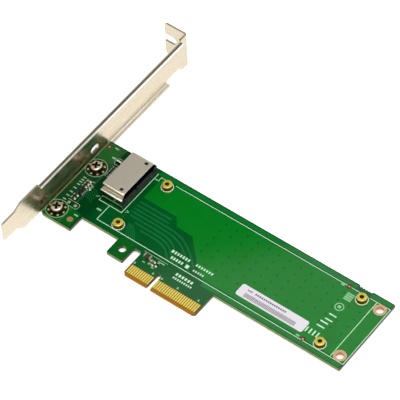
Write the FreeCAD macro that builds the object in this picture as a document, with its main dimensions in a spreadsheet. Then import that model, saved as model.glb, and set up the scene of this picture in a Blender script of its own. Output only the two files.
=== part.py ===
import FreeCAD, Part
import os
import re

import Sketcher
from FreeCAD import Vector

# An adapter card that carries one edge-type drive beside a card slot.
# X runs along the card, away from its mounting bracket, with zero at the key notch.
# Y rises from the edge of the contact fingers, and Z from the component side of the board.

DIMENSIONS = {
    # printed board
    "board_thick": 1.57,
    "board_length": 141.15,
    "board_rise": 49.8,
    "board_bracket_end": 58.1,
    "lower_edge_rise": 12.45,
    "ear_width": 15.0,
    "ear_foot_rise": 4.8,
    "ear_chamfer": 0.8,
    "tab_width": 7.95,
    "tab_foot_rise": 4.4,
    "tab_corner_radius": 0.5,
    "tab_hole_width": 3.2,
    "tab_hole_rise": 9.25,
    "tab_hole_offset": 0.4,
    "tab_slot_width": 3.8,
    "tab_slot_radius": 1.2,
    "key_width": 1.9,
    "key_rise": 8.0,
    "tongue_chamfer": 1.0,
    "bevel_rise": 1.3,
    "bevel_inset": 0.45,
    "breakoff_width": 6.2,
    "breakoff_depth": 0.5,
    "breakoff_inset": 10.35,
    "bite_width": 0.7,
    "bite_pitch": 1.2,
    "bite_count": 5,
    # contact fingers and other copper
    "foil_thick": 0.05,
    "finger_width": 0.7,
    "finger_pitch": 1.0,
    "finger_top": 5.4,
    "finger_margin": 0.75,
    "key_to_finger": 1.5,
    "fingers_before_key": 11,
    "fingers_past_key": 21,
    "fiducial_width": 1.2,
    "near_fiducial_inset": 1.85,
    "near_fiducial_rise": 47.1,
    "far_fiducial_inset": 19.6,
    "upper_fiducial_rise": 46.7,
    "lower_fiducial_rise": 15.7,
    "test_disc_width": 2.6,
    "test_disc_inset": 12.0,
    "test_disc_rise": 8.65,
    # screws that hold the bracket
    "screw_width": 3.0,
    "screw_length": 3.0,
    "screw_inset": 4.3,
    "screw_rise": 9.9,
    "screw_spacing": 25.45,
    "screw_hole_clearance": 0.2,
    "screw_head_width": 5.2,
    "screw_head_thick": 2.0,
    "screw_head_flank": 0.9,
    "screw_crown_width": 3.6,
    "cross_span": 2.8,
    "cross_width": 0.6,
    "cross_depth": 1.1,
    "screw_pad_width": 8.2,
    # threaded standoffs and end holes, on two common rows
    "row_rise": 17.7,
    "row_spacing": 26.6,
    "standoff_rise": 2.0,
    "standoff_width": 4.2,
    "standoff_bore": 2.1,
    "standoff_chamfer": 0.25,
    "standoff_pin_width": 3.1,
    "standoff_pin_length": 1.4,
    "standoff_pin_clearance": 0.1,
    "standoff_pad_width": 5.4,
    "near_upper_standoff_gap": 7.45,
    "near_lower_standoff_gap": 3.25,
    "far_upper_standoff_inset": 11.95,
    "far_lower_standoff_inset": 12.9,
    "end_hole_width": 3.2,
    "end_hole_inset": 3.4,
    "end_pad_width": 5.4,
    # mounting bracket, folded from sheet
    "sheet_thick": 0.86,
    "bracket_length": 120.02,
    "bracket_width": 18.42,
    "bracket_gap": 0.56,
    "bracket_low_end": 16.72,
    "bracket_drop": 2.62,
    "flange_depth": 11.43,
    "bend_radius": 0.4,
    "flange_radius": 1.3,
    "notch_width": 4.42,
    "notch_depth": 5.9,
    "notch_height": 7.15,
    "head_drop": 3.8,
    "head_slope": 3.5,
    "relief_height": 0.3,
    "lip_depth": 1.5,
    "lip_low_rise": 6.0,
    "upper_lip_top": 15.0,
    "upper_lip_end": 4.8,
    "lower_lip_end": 14.8,
    "foot_top": 15.4,
    "foot_drop": 0.9,
    "foot_slope": 4.0,
    "tongue_width": 10.19,
    "tongue_height": 8.2,
    "tongue_length": 7.8,
    "tongue_radius": 0.8,
    "light_slot_length": 5.0,
    "light_slot_width": 3.4,
    "light_slot_rise": 40.8,
    "light_slot_height": 3.5,
    "bracket_tab_reach": 9.1,
    "bracket_tab_width": 8.0,
    "bracket_tab_radius": 1.5,
    # drive connector: steel shell, moulded housing and spring contacts
    "shell_front_inset": 26.15,
    "shell_depth": 10.7,
    "shell_middle_rise": 36.0,
    "shell_length": 23.0,
    "shell_height": 8.1,
    "shell_wall": 0.3,
    "shoulder_height": 5.7,
    "shoulder_width": 1.6,
    "window_length": 1.5,
    "window_width": 1.35,
    "window_inset": 2.5,
    "window_shoulder": 1.85,
    "leg_width": 1.2,
    "leg_inset": 1.3,
    "leg_spacing": 6.0,
    "leg_below_board": 0.5,
    "leg_clearance": 0.15,
    "housing_clearance": 0.05,
    "housing_setback": 0.1,
    "housing_tail_gap": 0.8,
    "housing_undercut_depth": 2.5,
    "housing_undercut_height": 0.6,
    "upper_jaw_top": 6.4,
    "upper_jaw_depth": 1.6,
    "card_gap_height": 1.75,
    "card_gap_floor": 3.2,
    "card_gap_depth": 7.0,
    "card_gap_margin": 0.5,
    "jaw_lead_in": 0.6,
    "drive_contact_pitch": 0.6,
    "drive_contact_width": 0.3,
    "drive_contact_thick": 0.12,
    "drive_contact_bow": 0.35,
    "drive_contact_ramp": 0.8,
    "drive_contact_crest": 0.6,
    "drive_contact_setback": 1.5,
    "contacts_low_group": 12,
    "contacts_high_group": 16,
    "contact_key_width": 0.8,
    "tail_height": 0.9,
    "tail_reach": 1.5,
    "tail_foot": 0.8,
    # blank label
    "label_end_inset": 21.85,
    "label_low_rise": 17.75,
    "label_length": 32.1,
    "label_width": 6.0,
    "label_radius": 1.0,
    "label_thick": 0.1,
    # small parts soldered to the board
    "regulator_length": 2.9,
    "regulator_width": 1.6,
    "regulator_height": 1.1,
    "regulator_lift": 0.1,
    "regulator_inset": 7.2,
    "regulator_rise": 22.2,
    "lead_pitch": 0.95,
    "lead_width": 0.4,
    "lead_thick": 0.15,
    "lead_reach": 0.65,
    "lead_foot": 0.4,
    "lead_height": 0.5,
    "chip_length": 1.6,
    "chip_width": 0.8,
    "chip_height": 0.5,
    "chip_end": 0.3,
    "chip_end_lip": 0.02,
    "capacitor_length": 3.2,
    "capacitor_width": 1.7,
    "capacitor_height": 1.3,
    "capacitor_end": 0.5,
    "lamp_length": 1.6,
    "lamp_width": 2.4,
    "lamp_height": 0.8,
    "lamp_end": 0.4,
    "bare_pad_length": 1.3,
    "bare_pad_width": 1.0,
    "bare_pad_spacing": 3.3,
    "bare_pad_inset": 7.95,
    "bare_pad_rise": 15.2,
}

# Two-ended chips: the edge that each is measured from, its distance along X from
# that edge, its rise along Y and whether its long side runs along Y.
RESISTORS = {
    "resistor_a": ("bracket_end", 6.3, 26.6, False),
    "resistor_b": ("bracket_end", 6.3, 25.1, False),
    "resistor_c": ("bracket_end", 6.3, 19.7, False),
    "resistor_d": ("bracket_end", 6.3, 17.9, False),
    "resistor_e": ("key_notch", -3.8, 10.9, True),
}
BYPASS_CAPACITORS = {
    "bypass_a": ("bracket_end", 6.3, 28.1, False),
    "bypass_b": ("bracket_end", 9.2, 25.9, True),
    "bypass_c": ("key_notch", -6.1, 11.3, False),
    "bypass_d": ("key_notch", -6.1, 9.6, False),
}
LARGE_CAPACITOR = {"large_chip": ("key_notch", -9.05, 11.75, False)}
SIGNAL_LAMP = {"lamp_chip": ("bracket_end", 10.1, 42.9, True)}

for chips in (RESISTORS, BYPASS_CAPACITORS, LARGE_CAPACITOR, SIGNAL_LAMP):
    for name, (_, run, rise, _) in chips.items():
        DIMENSIONS[name + "_run"] = run
        DIMENSIONS[name + "_rise"] = rise

doc = FreeCAD.newDocument("drive_adapter_card")
sheet = doc.addObject("Spreadsheet::Sheet", "Sizes")
for row, (alias, size) in enumerate(DIMENSIONS.items(), start=1):
    sheet.set(f"A{row}", alias)
    sheet.set(f"B{row}", repr(size))
    sheet.setAlias(f"B{row}", alias)
doc.recompute()

# Edges and levels worked out from the driving dimensions, written with the aliases.
BOARD_LEFT = "(0 - board_bracket_end)"
BOARD_RIGHT = "(board_length - board_bracket_end)"
EAR_RIGHT = f"({BOARD_LEFT} + ear_width)"
KEY_SIDE = "(key_width / 2)"
FIRST_FINGER_X = "(0 - key_to_finger - (fingers_before_key - 1) * finger_pitch)"
LAST_FINGER_X = "(key_to_finger + (fingers_past_key - 1) * finger_pitch)"
TONGUE_LEFT = f"({FIRST_FINGER_X} - finger_width / 2 - finger_margin)"
TONGUE_RIGHT = f"({LAST_FINGER_X} + finger_width / 2 + finger_margin)"
TAB_RIGHT = f"({TONGUE_LEFT} - tab_slot_width)"
TAB_LEFT = f"({TAB_RIGHT} - tab_width)"
TAB_HOLE_X = f"({TAB_LEFT} + tab_width / 2 + tab_hole_offset)"
SOLDER_SIDE = "(0 - board_thick)"
SCREW_X = f"({BOARD_LEFT} + screw_inset)"
SCREW_RISES = {"lower": "screw_rise", "upper": "(screw_rise + screw_spacing)"}
SHELL_FRONT_X = f"({BOARD_LEFT} + shell_front_inset)"
SHELL_BACK_X = f"({SHELL_FRONT_X} - shell_depth)"
SHELL_LOW_RISE = "(shell_middle_rise - shell_length / 2)"
SHELL_HIGH_RISE = "(shell_middle_rise + shell_length / 2)"
UPPER_ROW = "(row_rise + row_spacing)"
STANDOFFS = {
    "near_upper": (f"({SHELL_FRONT_X} + near_upper_standoff_gap)", UPPER_ROW),
    "near_lower": (f"({SHELL_FRONT_X} + near_lower_standoff_gap)", "row_rise"),
    "far_upper": (f"({BOARD_RIGHT} - far_upper_standoff_inset)", UPPER_ROW),
    "far_lower": (f"({BOARD_RIGHT} - far_lower_standoff_inset)", "row_rise"),
}
FIDUCIALS = [
    (f"({BOARD_LEFT} + near_fiducial_inset)", "near_fiducial_rise"),
    (f"({BOARD_RIGHT} - far_fiducial_inset)", "upper_fiducial_rise"),
    (f"({BOARD_RIGHT} - far_fiducial_inset)", "lower_fiducial_rise"),
]
TEST_DISC = (f"({BOARD_LEFT} + test_disc_inset)", "test_disc_rise")
REGULATOR_X = f"({BOARD_LEFT} + regulator_inset)"
BARE_PADS_X = f"({BOARD_LEFT} + bare_pad_inset)"
CHIP_BASES = {"bracket_end": BOARD_LEFT, "key_notch": "0"}
END_HOLE_X = f"({BOARD_RIGHT} - end_hole_inset)"
END_HOLE_RISES = ("row_rise", UPPER_ROW)
PLATE_INNER = f"({BOARD_LEFT} - bracket_gap)"
PLATE_OUTER = f"({PLATE_INNER} - sheet_thick)"
BRACKET_TOP = "(bracket_length - bracket_low_end)"
LIP_BOTTOM = f"({SOLDER_SIDE} - sheet_thick)"
LEG_PLACES = ("leg_inset", "(leg_inset + leg_spacing)")
HOUSING_FRONT = f"({SHELL_FRONT_X} - housing_setback)"
HOUSING_BACK = f"({SHELL_BACK_X} + housing_tail_gap)"
LOW_GROUP_SPAN = "((contacts_low_group - 1) * drive_contact_pitch)"
HIGH_GROUP_SPAN = "((contacts_high_group - 1) * drive_contact_pitch)"
GROUP_GAP = "(contact_key_width + 2 * card_gap_margin)"
CARD_GAP_LENGTH = f"({LOW_GROUP_SPAN} + {HIGH_GROUP_SPAN} + {GROUP_GAP} + 2 * card_gap_margin)"
CARD_GAP_LOW = f"(shell_middle_rise - {CARD_GAP_LENGTH} / 2)"
LOW_GROUP_START = f"({CARD_GAP_LOW} + card_gap_margin)"
HIGH_GROUP_START = f"({LOW_GROUP_START} + {LOW_GROUP_SPAN} + {GROUP_GAP})"

ALIAS = re.compile(r"\b(" + "|".join(sorted(DIMENSIONS, key=len, reverse=True)) + r")\b")
PLANES = {"XY": "XY_Plane", "XZ": "XZ_Plane", "YZ": "YZ_Plane"}
pieces = []


def formula(text):
    """The text with each alias pointing at its cell."""
    return ALIAS.sub(r"Sizes.\1", text)


def number(text):
    """The present value of a formula."""
    return float(sheet.evalExpression(formula(text)))


def new_body(label):
    body = doc.addObject("PartDesign::Body", label)
    body.Label = label
    pieces.append(body)
    return body


def origin_feature(body, role):
    return next(item for item in body.Origin.OriginFeatures if item.Role == role)


def fix_point(sketch, geometry, vertex, point):
    """Holds one vertex at a point given by two formulas."""
    for kind, text in zip(("DistanceX", "DistanceY"), point):
        constraint = Sketcher.Constraint(kind, -1, 1, geometry, vertex, number(text))
        index = sketch.addConstraint(constraint)
        sketch.setExpression(f"Constraints[{index}]", formula(text))


def fix_radius(sketch, geometry, text):
    index = sketch.addConstraint(Sketcher.Constraint("Radius", geometry, number(text)))
    sketch.setExpression(f"Constraints[{index}]", formula(text))


def spot(point):
    return Vector(number(point[0]), number(point[1]), 0)


def draw_outline(sketch, corners):
    """A closed outline of straight edges through its corners."""
    spots = [spot(corner) for corner in corners]
    ends = spots[1:] + spots[:1]
    lines = [sketch.addGeometry(Part.LineSegment(*pair)) for pair in zip(spots, ends)]
    for before, after, corner in zip(lines[-1:] + lines[:-1], lines, corners):
        sketch.addConstraint(Sketcher.Constraint("Coincident", before, 2, after, 1))
        fix_point(sketch, after, 1, corner)


def draw_circle(sketch, centre, radius):
    circle = sketch.addGeometry(Part.Circle(spot(centre), Vector(0, 0, 1), number(radius)))
    fix_point(sketch, circle, 3, centre)
    fix_radius(sketch, circle, radius)


def draw_obround(sketch, first, second, radius):
    """A slot with round ends about two centres."""
    centres = [spot(first), spot(second)]
    along = (centres[1] - centres[0]).normalize() * number(radius)
    side = Vector(-along.y, along.x, 0)
    arcs = []
    for centre, text, turn in zip(centres, (first, second), (-1, 1)):
        arc = Part.Arc(centre - side * turn, centre + along * turn, centre + side * turn)
        arcs.append(sketch.addGeometry(arc))
        fix_point(sketch, arcs[-1], 3, text)
        fix_radius(sketch, arcs[-1], radius)
    for turn, (arc, other) in zip((-1, 1), (arcs, arcs[::-1])):
        start = centres[0 if turn < 0 else 1] + side * turn
        end = centres[1 if turn < 0 else 0] + side * turn
        line = sketch.addGeometry(Part.LineSegment(start, end))
        sketch.addConstraint(Sketcher.Constraint("Tangent", arc, 2, line, 1))
        sketch.addConstraint(Sketcher.Constraint("Tangent", line, 2, other, 1))


def new_sketch(body, name, plane, level="0"):
    """A sketch parallel to one plane of the body, at a level along the third axis."""
    sketch = body.newObject("Sketcher::SketchObject", name)
    sketch.AttachmentSupport = [(origin_feature(body, PLANES[plane]), "")]
    sketch.MapMode = "FlatFace"
    shift = f"0 - ({level})" if plane == "XZ" else level
    sketch.setExpression("AttachmentOffset.Base.z", formula(shift))
    return sketch


def extrude(body, name, plane, start, end, outlines=(), circles=(), obrounds=(), cut=False):
    """Adds or cuts flat outlines from one level to a higher one."""
    level = end if plane == "XZ" else start
    sketch = new_sketch(body, name + "_outline", plane, level)
    for corners in outlines:
        draw_outline(sketch, corners)
    for centre, radius in circles:
        draw_circle(sketch, centre, radius)
    for first, second, radius in obrounds:
        draw_obround(sketch, first, second, radius)
    feature = body.newObject("PartDesign::Pocket" if cut else "PartDesign::Pad", name)
    feature.Profile = sketch
    feature.Reversed = cut
    feature.setExpression("Length", formula(f"({end}) - ({start})"))
    doc.recompute()
    return feature


def revolve(body, name, corners):
    """Turns a profile of (radius, height) corners about the body's upright axis."""
    sketch = new_sketch(body, name + "_outline", "XZ")
    draw_outline(sketch, corners)
    feature = body.newObject("PartDesign::Revolution", name)
    feature.Profile = sketch
    feature.ReferenceAxis = (origin_feature(body, "Z_Axis"), [""])
    feature.Angle = 360
    doc.recompute()
    return feature


def repeat(body, feature, axis, count, pitch):
    """Copies of a feature in a straight row."""
    pattern = body.newObject("PartDesign::LinearPattern", feature.Name + "_row")
    pattern.Originals = [feature]
    pattern.Direction = (origin_feature(body, axis + "_Axis"), [""])
    pattern.Mode = "Spacing"
    pattern.setExpression("Offset", formula(pitch))
    pattern.setExpression("Occurrences", formula(count))
    body.Tip = pattern
    doc.recompute()


def edges_along(shape, axis, points):
    """Names of the straight edges that run along an axis through the given points."""
    direction = {"X": Vector(1, 0, 0), "Y": Vector(0, 1, 0), "Z": Vector(0, 0, 1)}[axis]
    wanted = [spot(point) for point in points]
    names = []
    for index, edge in enumerate(shape.Edges, start=1):
        run = edge.lastVertex().Point - edge.firstVertex().Point
        if run.Length < 1e-6 or run.normalize().cross(direction).Length > 1e-6:
            continue
        middle = edge.CenterOfMass
        flat = {
            "X": Vector(middle.y, middle.z, 0),
            "Y": Vector(middle.x, middle.z, 0),
            "Z": Vector(middle.x, middle.y, 0),
        }[axis]
        if any((flat - place).Length < 1e-4 for place in wanted):
            names.append(f"Edge{index}")
    return names


def dress(body, kind, name, names, size):
    """A fillet or chamfer on named edges of the body as it stands."""
    base = body.Tip
    feature = body.newObject("PartDesign::" + kind, name)
    feature.Base = (base, names)
    feature.setExpression("Radius" if kind == "Fillet" else "Size", formula(size))
    doc.recompute()


def fillet_along(body, name, axis, points, size):
    dress(body, "Fillet", name, edges_along(body.Tip.Shape, axis, points), size)


def chamfer_along(body, name, axis, points, size):
    dress(body, "Chamfer", name, edges_along(body.Tip.Shape, axis, points), size)


def box_outline(low_u, high_u, low_v, high_v):
    return [(low_u, low_v), (high_u, low_v), (high_u, high_v), (low_u, high_v)]


def centred_outline(centre, size_u, size_v):
    """A rectangle about a centre, with its two sizes."""
    return box_outline(
        f"{centre[0]} - ({size_u}) / 2",
        f"{centre[0]} + ({size_u}) / 2",
        f"{centre[1]} - ({size_v}) / 2",
        f"{centre[1]} + ({size_v}) / 2",
    )


def move_to(body, x, y):
    body.setExpression("Placement.Base.x", formula(x))
    body.setExpression("Placement.Base.y", formula(y))


def make_board():
    """The laminate, with ear, tab, keyed tongue, bevelled edge and all its holes."""
    body = new_body("printed_board")
    outline = [
        (BOARD_LEFT, "ear_foot_rise"),
        (EAR_RIGHT, "ear_foot_rise"),
        (EAR_RIGHT, "lower_edge_rise"),
        (TAB_LEFT, "lower_edge_rise"),
        (TAB_LEFT, "tab_foot_rise"),
        (TAB_RIGHT, "tab_foot_rise"),
        (TAB_RIGHT, "lower_edge_rise"),
        (TONGUE_LEFT, "lower_edge_rise"),
        (TONGUE_LEFT, "0"),
        (TONGUE_RIGHT, "0"),
        (TONGUE_RIGHT, "lower_edge_rise"),
        (BOARD_RIGHT, "lower_edge_rise"),
        (BOARD_RIGHT, "board_rise"),
        (BOARD_LEFT, "board_rise"),
    ]
    extrude(body, "laminate", "XY", SOLDER_SIDE, "0", outlines=[outline])
    chamfer_along(body, "ear_corner", "Z", [outline[0]], "ear_chamfer")
    fillet_along(body, "tab_corners", "Z", outline[4:6], "tab_corner_radius")
    fillet_along(body, "tab_slot_corners", "Z", outline[6:8], "tab_slot_radius")
    chamfer_along(body, "tongue_corners", "Z", outline[8:10], "tongue_chamfer")
    bevels = [
        [("0", "0"), ("bevel_rise", "0"), ("0", "0 - bevel_inset")],
        [
            ("0", SOLDER_SIDE),
            ("0", f"{SOLDER_SIDE} + bevel_inset"),
            ("bevel_rise", SOLDER_SIDE),
        ],
    ]
    extrude(body, "bevel", "YZ", TONGUE_LEFT, TONGUE_RIGHT, outlines=bevels, cut=True)
    key_centre = ("0", f"key_rise - {KEY_SIDE}")
    key_mouth = ("0", f"0 - {KEY_SIDE}")
    key = (key_centre, key_mouth, KEY_SIDE)
    extrude(body, "key_notch", "XY", SOLDER_SIDE, "0", obrounds=[key], cut=True)
    tab_hole = ((TAB_HOLE_X, "tab_hole_rise"), "tab_hole_width / 2")
    screw_radius = "screw_width / 2 + screw_hole_clearance"
    pin_radius = "standoff_pin_width / 2 + standoff_pin_clearance"
    holes = [tab_hole]
    holes += [((SCREW_X, rise), screw_radius) for rise in SCREW_RISES.values()]
    holes += [(centre, pin_radius) for centre in STANDOFFS.values()]
    holes += [((END_HOLE_X, rise), "end_hole_width / 2 + foil_thick") for rise in END_HOLE_RISES]
    extrude(body, "holes", "XY", SOLDER_SIDE, "0", circles=holes, cut=True)
    clear = "2 * leg_clearance"
    slots = [
        centred_outline(centre, f"leg_width + {clear}", f"shell_wall + {clear}")
        for centre in leg_centres()
    ]
    extrude(body, "leg_slots", "XY", SOLDER_SIDE, "0", outlines=slots, cut=True)
    recess_right = f"{BOARD_RIGHT} - breakoff_inset"
    recess_floor = "board_rise - breakoff_depth"
    recess = box_outline(
        f"{recess_right} - breakoff_width", recess_right, recess_floor, "board_rise"
    )
    extrude(body, "breakoff", "XY", SOLDER_SIDE, "0", outlines=[recess], cut=True)
    bite_span = "(bite_count - 1) * bite_pitch"
    bite_x = f"{recess_right} - (breakoff_width + {bite_span}) / 2"
    bite = [
        (f"{bite_x} - bite_width / 2", "board_rise"),
        (f"{bite_x} - bite_width / 2", recess_floor),
        (f"{bite_x} - bite_width / 4", f"{recess_floor} - bite_width / 2"),
        (f"{bite_x} + bite_width / 4", f"{recess_floor} - bite_width / 2"),
        (f"{bite_x} + bite_width / 2", recess_floor),
        (f"{bite_x} + bite_width / 2", "board_rise"),
    ]
    cut = extrude(body, "bite", "XY", SOLDER_SIDE, "0", outlines=[bite], cut=True)
    repeat(body, cut, "X", "bite_count", "bite_pitch")


def make_fingers(label, low, high):
    """One side's plated contact fingers, in two groups beside the key notch."""
    body = new_body(label)
    groups = {
        "before_key": (FIRST_FINGER_X, "fingers_before_key"),
        "past_key": ("key_to_finger", "fingers_past_key"),
    }
    for name, (first, count) in groups.items():
        left = f"{first} - finger_width / 2"
        finger = box_outline(left, f"{left} + finger_width", "bevel_rise", "finger_top")
        pad = extrude(body, name, "XY", low, high, outlines=[finger])
        repeat(body, pad, "X", count, "finger_pitch")


def make_copper_marks():
    """Bare round marks, a larger test disc and an empty two-pad footprint."""
    body = new_body("bare_copper_marks")
    marks = [(centre, "fiducial_width / 2") for centre in FIDUCIALS]
    marks.append((TEST_DISC, "test_disc_width / 2"))
    extrude(body, "discs", "XY", "0", "foil_thick", circles=marks)
    pads = [
        centred_outline(
            (f"{BARE_PADS_X} {side} bare_pad_spacing / 2", "bare_pad_rise"),
            "bare_pad_width",
            "bare_pad_length",
        )
        for side in "-+"
    ]
    extrude(body, "footprint", "XY", "0", "foil_thick", outlines=pads)


def make_rings(label, centres, inner, outer):
    """Flat copper rings on the component side."""
    body = new_body(label)
    rings = [(centre, radius) for centre in centres for radius in (inner, outer)]
    extrude(body, "rings", "XY", "0", "foil_thick", circles=rings)


def make_bracket_screw(name, rise):
    """A pan-head machine screw with a cross recess."""
    body = new_body(f"bracket_screw_{name}")
    head_top = "foil_thick + screw_head_thick"
    tip = "foil_thick - screw_length"
    shank = "screw_width / 2"
    head = "screw_head_width / 2"
    corners = [
        ("0", tip),
        (shank, tip),
        (shank, "foil_thick"),
        (head, "foil_thick"),
        (head, "foil_thick + screw_head_flank"),
        ("screw_crown_width / 2", head_top),
        ("0", head_top),
    ]
    revolve(body, "turned_form", corners)
    floor = f"{head_top} - cross_depth"
    arms = {"long_arm": ("cross_span", "cross_width"), "short_arm": ("cross_width", "cross_span")}
    for arm, sizes in arms.items():
        slot = centred_outline(("0", "0"), *sizes)
        extrude(body, arm, "XY", floor, head_top, outlines=[slot], cut=True)
    move_to(body, SCREW_X, rise)


def make_standoff(name, centre):
    """A threaded brass standoff, soldered with its pin in the board."""
    body = new_body(f"standoff_{name}")
    bore = "standoff_bore / 2"
    pin = "standoff_pin_width / 2"
    rim = "standoff_width / 2"
    corners = [
        (bore, "0 - standoff_pin_length"),
        (pin, "0 - standoff_pin_length"),
        (pin, "foil_thick"),
        (rim, "foil_thick"),
        (rim, "standoff_rise - standoff_chamfer"),
        (f"{rim} - standoff_chamfer", "standoff_rise"),
        (bore, "standoff_rise"),
    ]
    revolve(body, "turned_form", corners)
    move_to(body, *centre)


def make_end_eyelet(name, rise):
    """The plated lining of an end hole, with a ring on each side of the board."""
    body = new_body(f"end_hole_eyelet_{name}")
    bore = "end_hole_width / 2"
    rim = "end_pad_width / 2"
    corners = [
        (bore, "foil_thick"),
        (rim, "foil_thick"),
        (rim, "0"),
        (f"{bore} + foil_thick", "0"),
        (f"{bore} + foil_thick", SOLDER_SIDE),
        (rim, SOLDER_SIDE),
        (rim, f"{SOLDER_SIDE} - foil_thick"),
        (bore, f"{SOLDER_SIDE} - foil_thick"),
    ]
    revolve(body, "lining", corners)
    move_to(body, END_HOLE_X, rise)


def make_bracket():
    """The folded mounting bracket: plate, two lips, screw flange and two board tabs."""
    body = new_body("mounting_bracket")
    lip_edge = f"{PLATE_INNER} + lip_depth"
    upper_inside = "upper_lip_top - sheet_thick"
    upper_lip = [
        (PLATE_INNER, upper_inside),
        (lip_edge, upper_inside),
        (lip_edge, "upper_lip_top"),
        (PLATE_OUTER, "upper_lip_top"),
    ]
    lower_lip = [
        (PLATE_OUTER, LIP_BOTTOM),
        (lip_edge, LIP_BOTTOM),
        (lip_edge, SOLDER_SIDE),
        (PLATE_INNER, SOLDER_SIDE),
    ]
    lower_lip_stop = f"{BRACKET_TOP} - lower_lip_end"
    upper_lip_stop = f"{BRACKET_TOP} - upper_lip_end"
    channel = lower_lip + upper_lip
    extrude(body, "channel", "XZ", "lip_low_rise", lower_lip_stop, outlines=[channel])
    angle = [(PLATE_OUTER, "relief_height"), (PLATE_INNER, "relief_height")] + upper_lip
    extrude(body, "angle", "XZ", lower_lip_stop, upper_lip_stop, outlines=[angle])
    inner_bends = [(PLATE_INNER, upper_inside), (PLATE_INNER, SOLDER_SIDE)]
    outer_bends = [(PLATE_OUTER, "upper_lip_top"), (PLATE_OUTER, LIP_BOTTOM)]
    fillet_along(body, "lip_inner_bends", "Y", inner_bends, "bend_radius")
    fillet_along(body, "lip_outer_bends", "Y", outer_bends, "bend_radius + sheet_thick")

    low_end = "0 - bracket_low_end"
    tongue_low = "tongue_height - tongue_width / 2"
    tongue_high = "tongue_height + tongue_width / 2"
    slope_start = f"{low_end} + tongue_length"
    slope_end = f"{slope_start} + foot_slope"
    foot = [
        (low_end, tongue_low),
        (slope_start, tongue_low),
        (slope_end, "0 - foot_drop"),
        ("lip_low_rise", "0 - foot_drop"),
        ("lip_low_rise", "foot_top"),
        (slope_end, "foot_top"),
        (slope_start, tongue_high),
        (low_end, tongue_high),
    ]
    extrude(body, "foot", "YZ", PLATE_OUTER, PLATE_INNER, outlines=[foot])
    fillet_along(body, "tongue_corners", "X", [foot[0], foot[-1]], "tongue_radius")
    low_side = "0 - bracket_drop"
    high_side = "bracket_width - bracket_drop"
    head = [
        (f"{BRACKET_TOP} - head_drop - head_slope", "relief_height"),
        (f"{BRACKET_TOP} - head_drop", low_side),
        (BRACKET_TOP, low_side),
        (BRACKET_TOP, high_side),
        (upper_lip_stop, high_side),
        (upper_lip_stop, "relief_height"),
    ]
    extrude(body, "head", "YZ", PLATE_OUTER, PLATE_INNER, outlines=[head])
    flange_edge = f"{PLATE_INNER} - flange_depth"
    flange_low = f"{BRACKET_TOP} - sheet_thick"
    flange = box_outline(flange_edge, PLATE_INNER, low_side, high_side)
    extrude(body, "flange", "XZ", flange_low, BRACKET_TOP, outlines=[flange])
    fillet_along(body, "flange_inner_bend", "Z", [(PLATE_OUTER, flange_low)], "bend_radius")
    outer_bend = [(PLATE_INNER, BRACKET_TOP)]
    fillet_along(body, "flange_outer_bend", "Z", outer_bend, "bend_radius + sheet_thick")
    free_corners = [(flange_edge, low_side), (flange_edge, high_side)]
    fillet_along(body, "flange_corners", "Y", free_corners, "flange_radius")

    tab_middle = f"{PLATE_INNER} + bracket_tab_reach / 2"
    for name, rise in SCREW_RISES.items():
        tab = centred_outline((tab_middle, rise), "bracket_tab_reach", "bracket_tab_width")
        extrude(body, f"{name}_tab", "XY", LIP_BOTTOM, SOLDER_SIDE, outlines=[tab])
        fillet_along(body, f"{name}_tab_corners", "Z", tab[1:3], "bracket_tab_radius")
    threads = [((SCREW_X, rise), "screw_width / 2") for rise in SCREW_RISES.values()]
    extrude(body, "thread_holes", "XY", LIP_BOTTOM, SOLDER_SIDE, circles=threads, cut=True)
    notch_end = (f"{flange_edge} + notch_depth - notch_width / 2", "notch_height")
    notch_mouth = (f"{flange_edge} - notch_width", "notch_height")
    notch = (notch_mouth, notch_end, "notch_width / 2")
    extrude(body, "screw_notch", "XZ", flange_low, BRACKET_TOP, obrounds=[notch], cut=True)
    half_run = "(light_slot_length - light_slot_width) / 2"
    light_slot = (
        (f"light_slot_rise - {half_run}", "light_slot_height"),
        (f"light_slot_rise + {half_run}", "light_slot_height"),
        "light_slot_width / 2",
    )
    extrude(body, "light_slot", "YZ", PLATE_OUTER, PLATE_INNER, obrounds=[light_slot], cut=True)


def leg_centres():
    """Middles of the four shell legs."""
    sides = (f"{SHELL_LOW_RISE} + shell_wall / 2", f"{SHELL_HIGH_RISE} - shell_wall / 2")
    return [(f"{SHELL_FRONT_X} - {place}", side) for place in LEG_PLACES for side in sides]


def hat_outline(inset, height, shoulder):
    """A stepped section: wide below the shoulder, narrow up to the height."""
    low = f"{SHELL_LOW_RISE} + {inset}"
    high = f"{SHELL_HIGH_RISE} - ({inset})"
    return [
        (low, "0"),
        (low, shoulder),
        (f"{low} + shoulder_width", shoulder),
        (f"{low} + shoulder_width", height),
        (f"{high} - shoulder_width", height),
        (f"{high} - shoulder_width", shoulder),
        (high, shoulder),
        (high, "0"),
    ]


def make_shell():
    """The stepped sheet-steel cover with two windows and four legs."""
    body = new_body("connector_shell")
    outside = hat_outline("0", "shell_height", "shoulder_height")
    inside = hat_outline("shell_wall", "shell_height - shell_wall", "shoulder_height - shell_wall")
    section = outside + inside[::-1]
    extrude(body, "cover", "YZ", SHELL_BACK_X, SHELL_FRONT_X, outlines=[section])
    window_x = f"{SHELL_FRONT_X} - window_inset"
    hat_low = f"{SHELL_LOW_RISE} + shoulder_width"
    hat_high = f"{SHELL_HIGH_RISE} - shoulder_width"
    windows = [
        centred_outline((window_x, rise), "window_length", "window_width")
        for rise in (f"{hat_low} + window_shoulder", f"{hat_high} - window_shoulder")
    ]
    extrude(
        body, "windows", "XY", "shell_height - shell_wall", "shell_height", outlines=windows, cut=True
    )
    legs = [centred_outline(centre, "leg_width", "shell_wall") for centre in leg_centres()]
    extrude(body, "legs", "XY", f"{SOLDER_SIDE} - leg_below_board", "0", outlines=legs)


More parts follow.
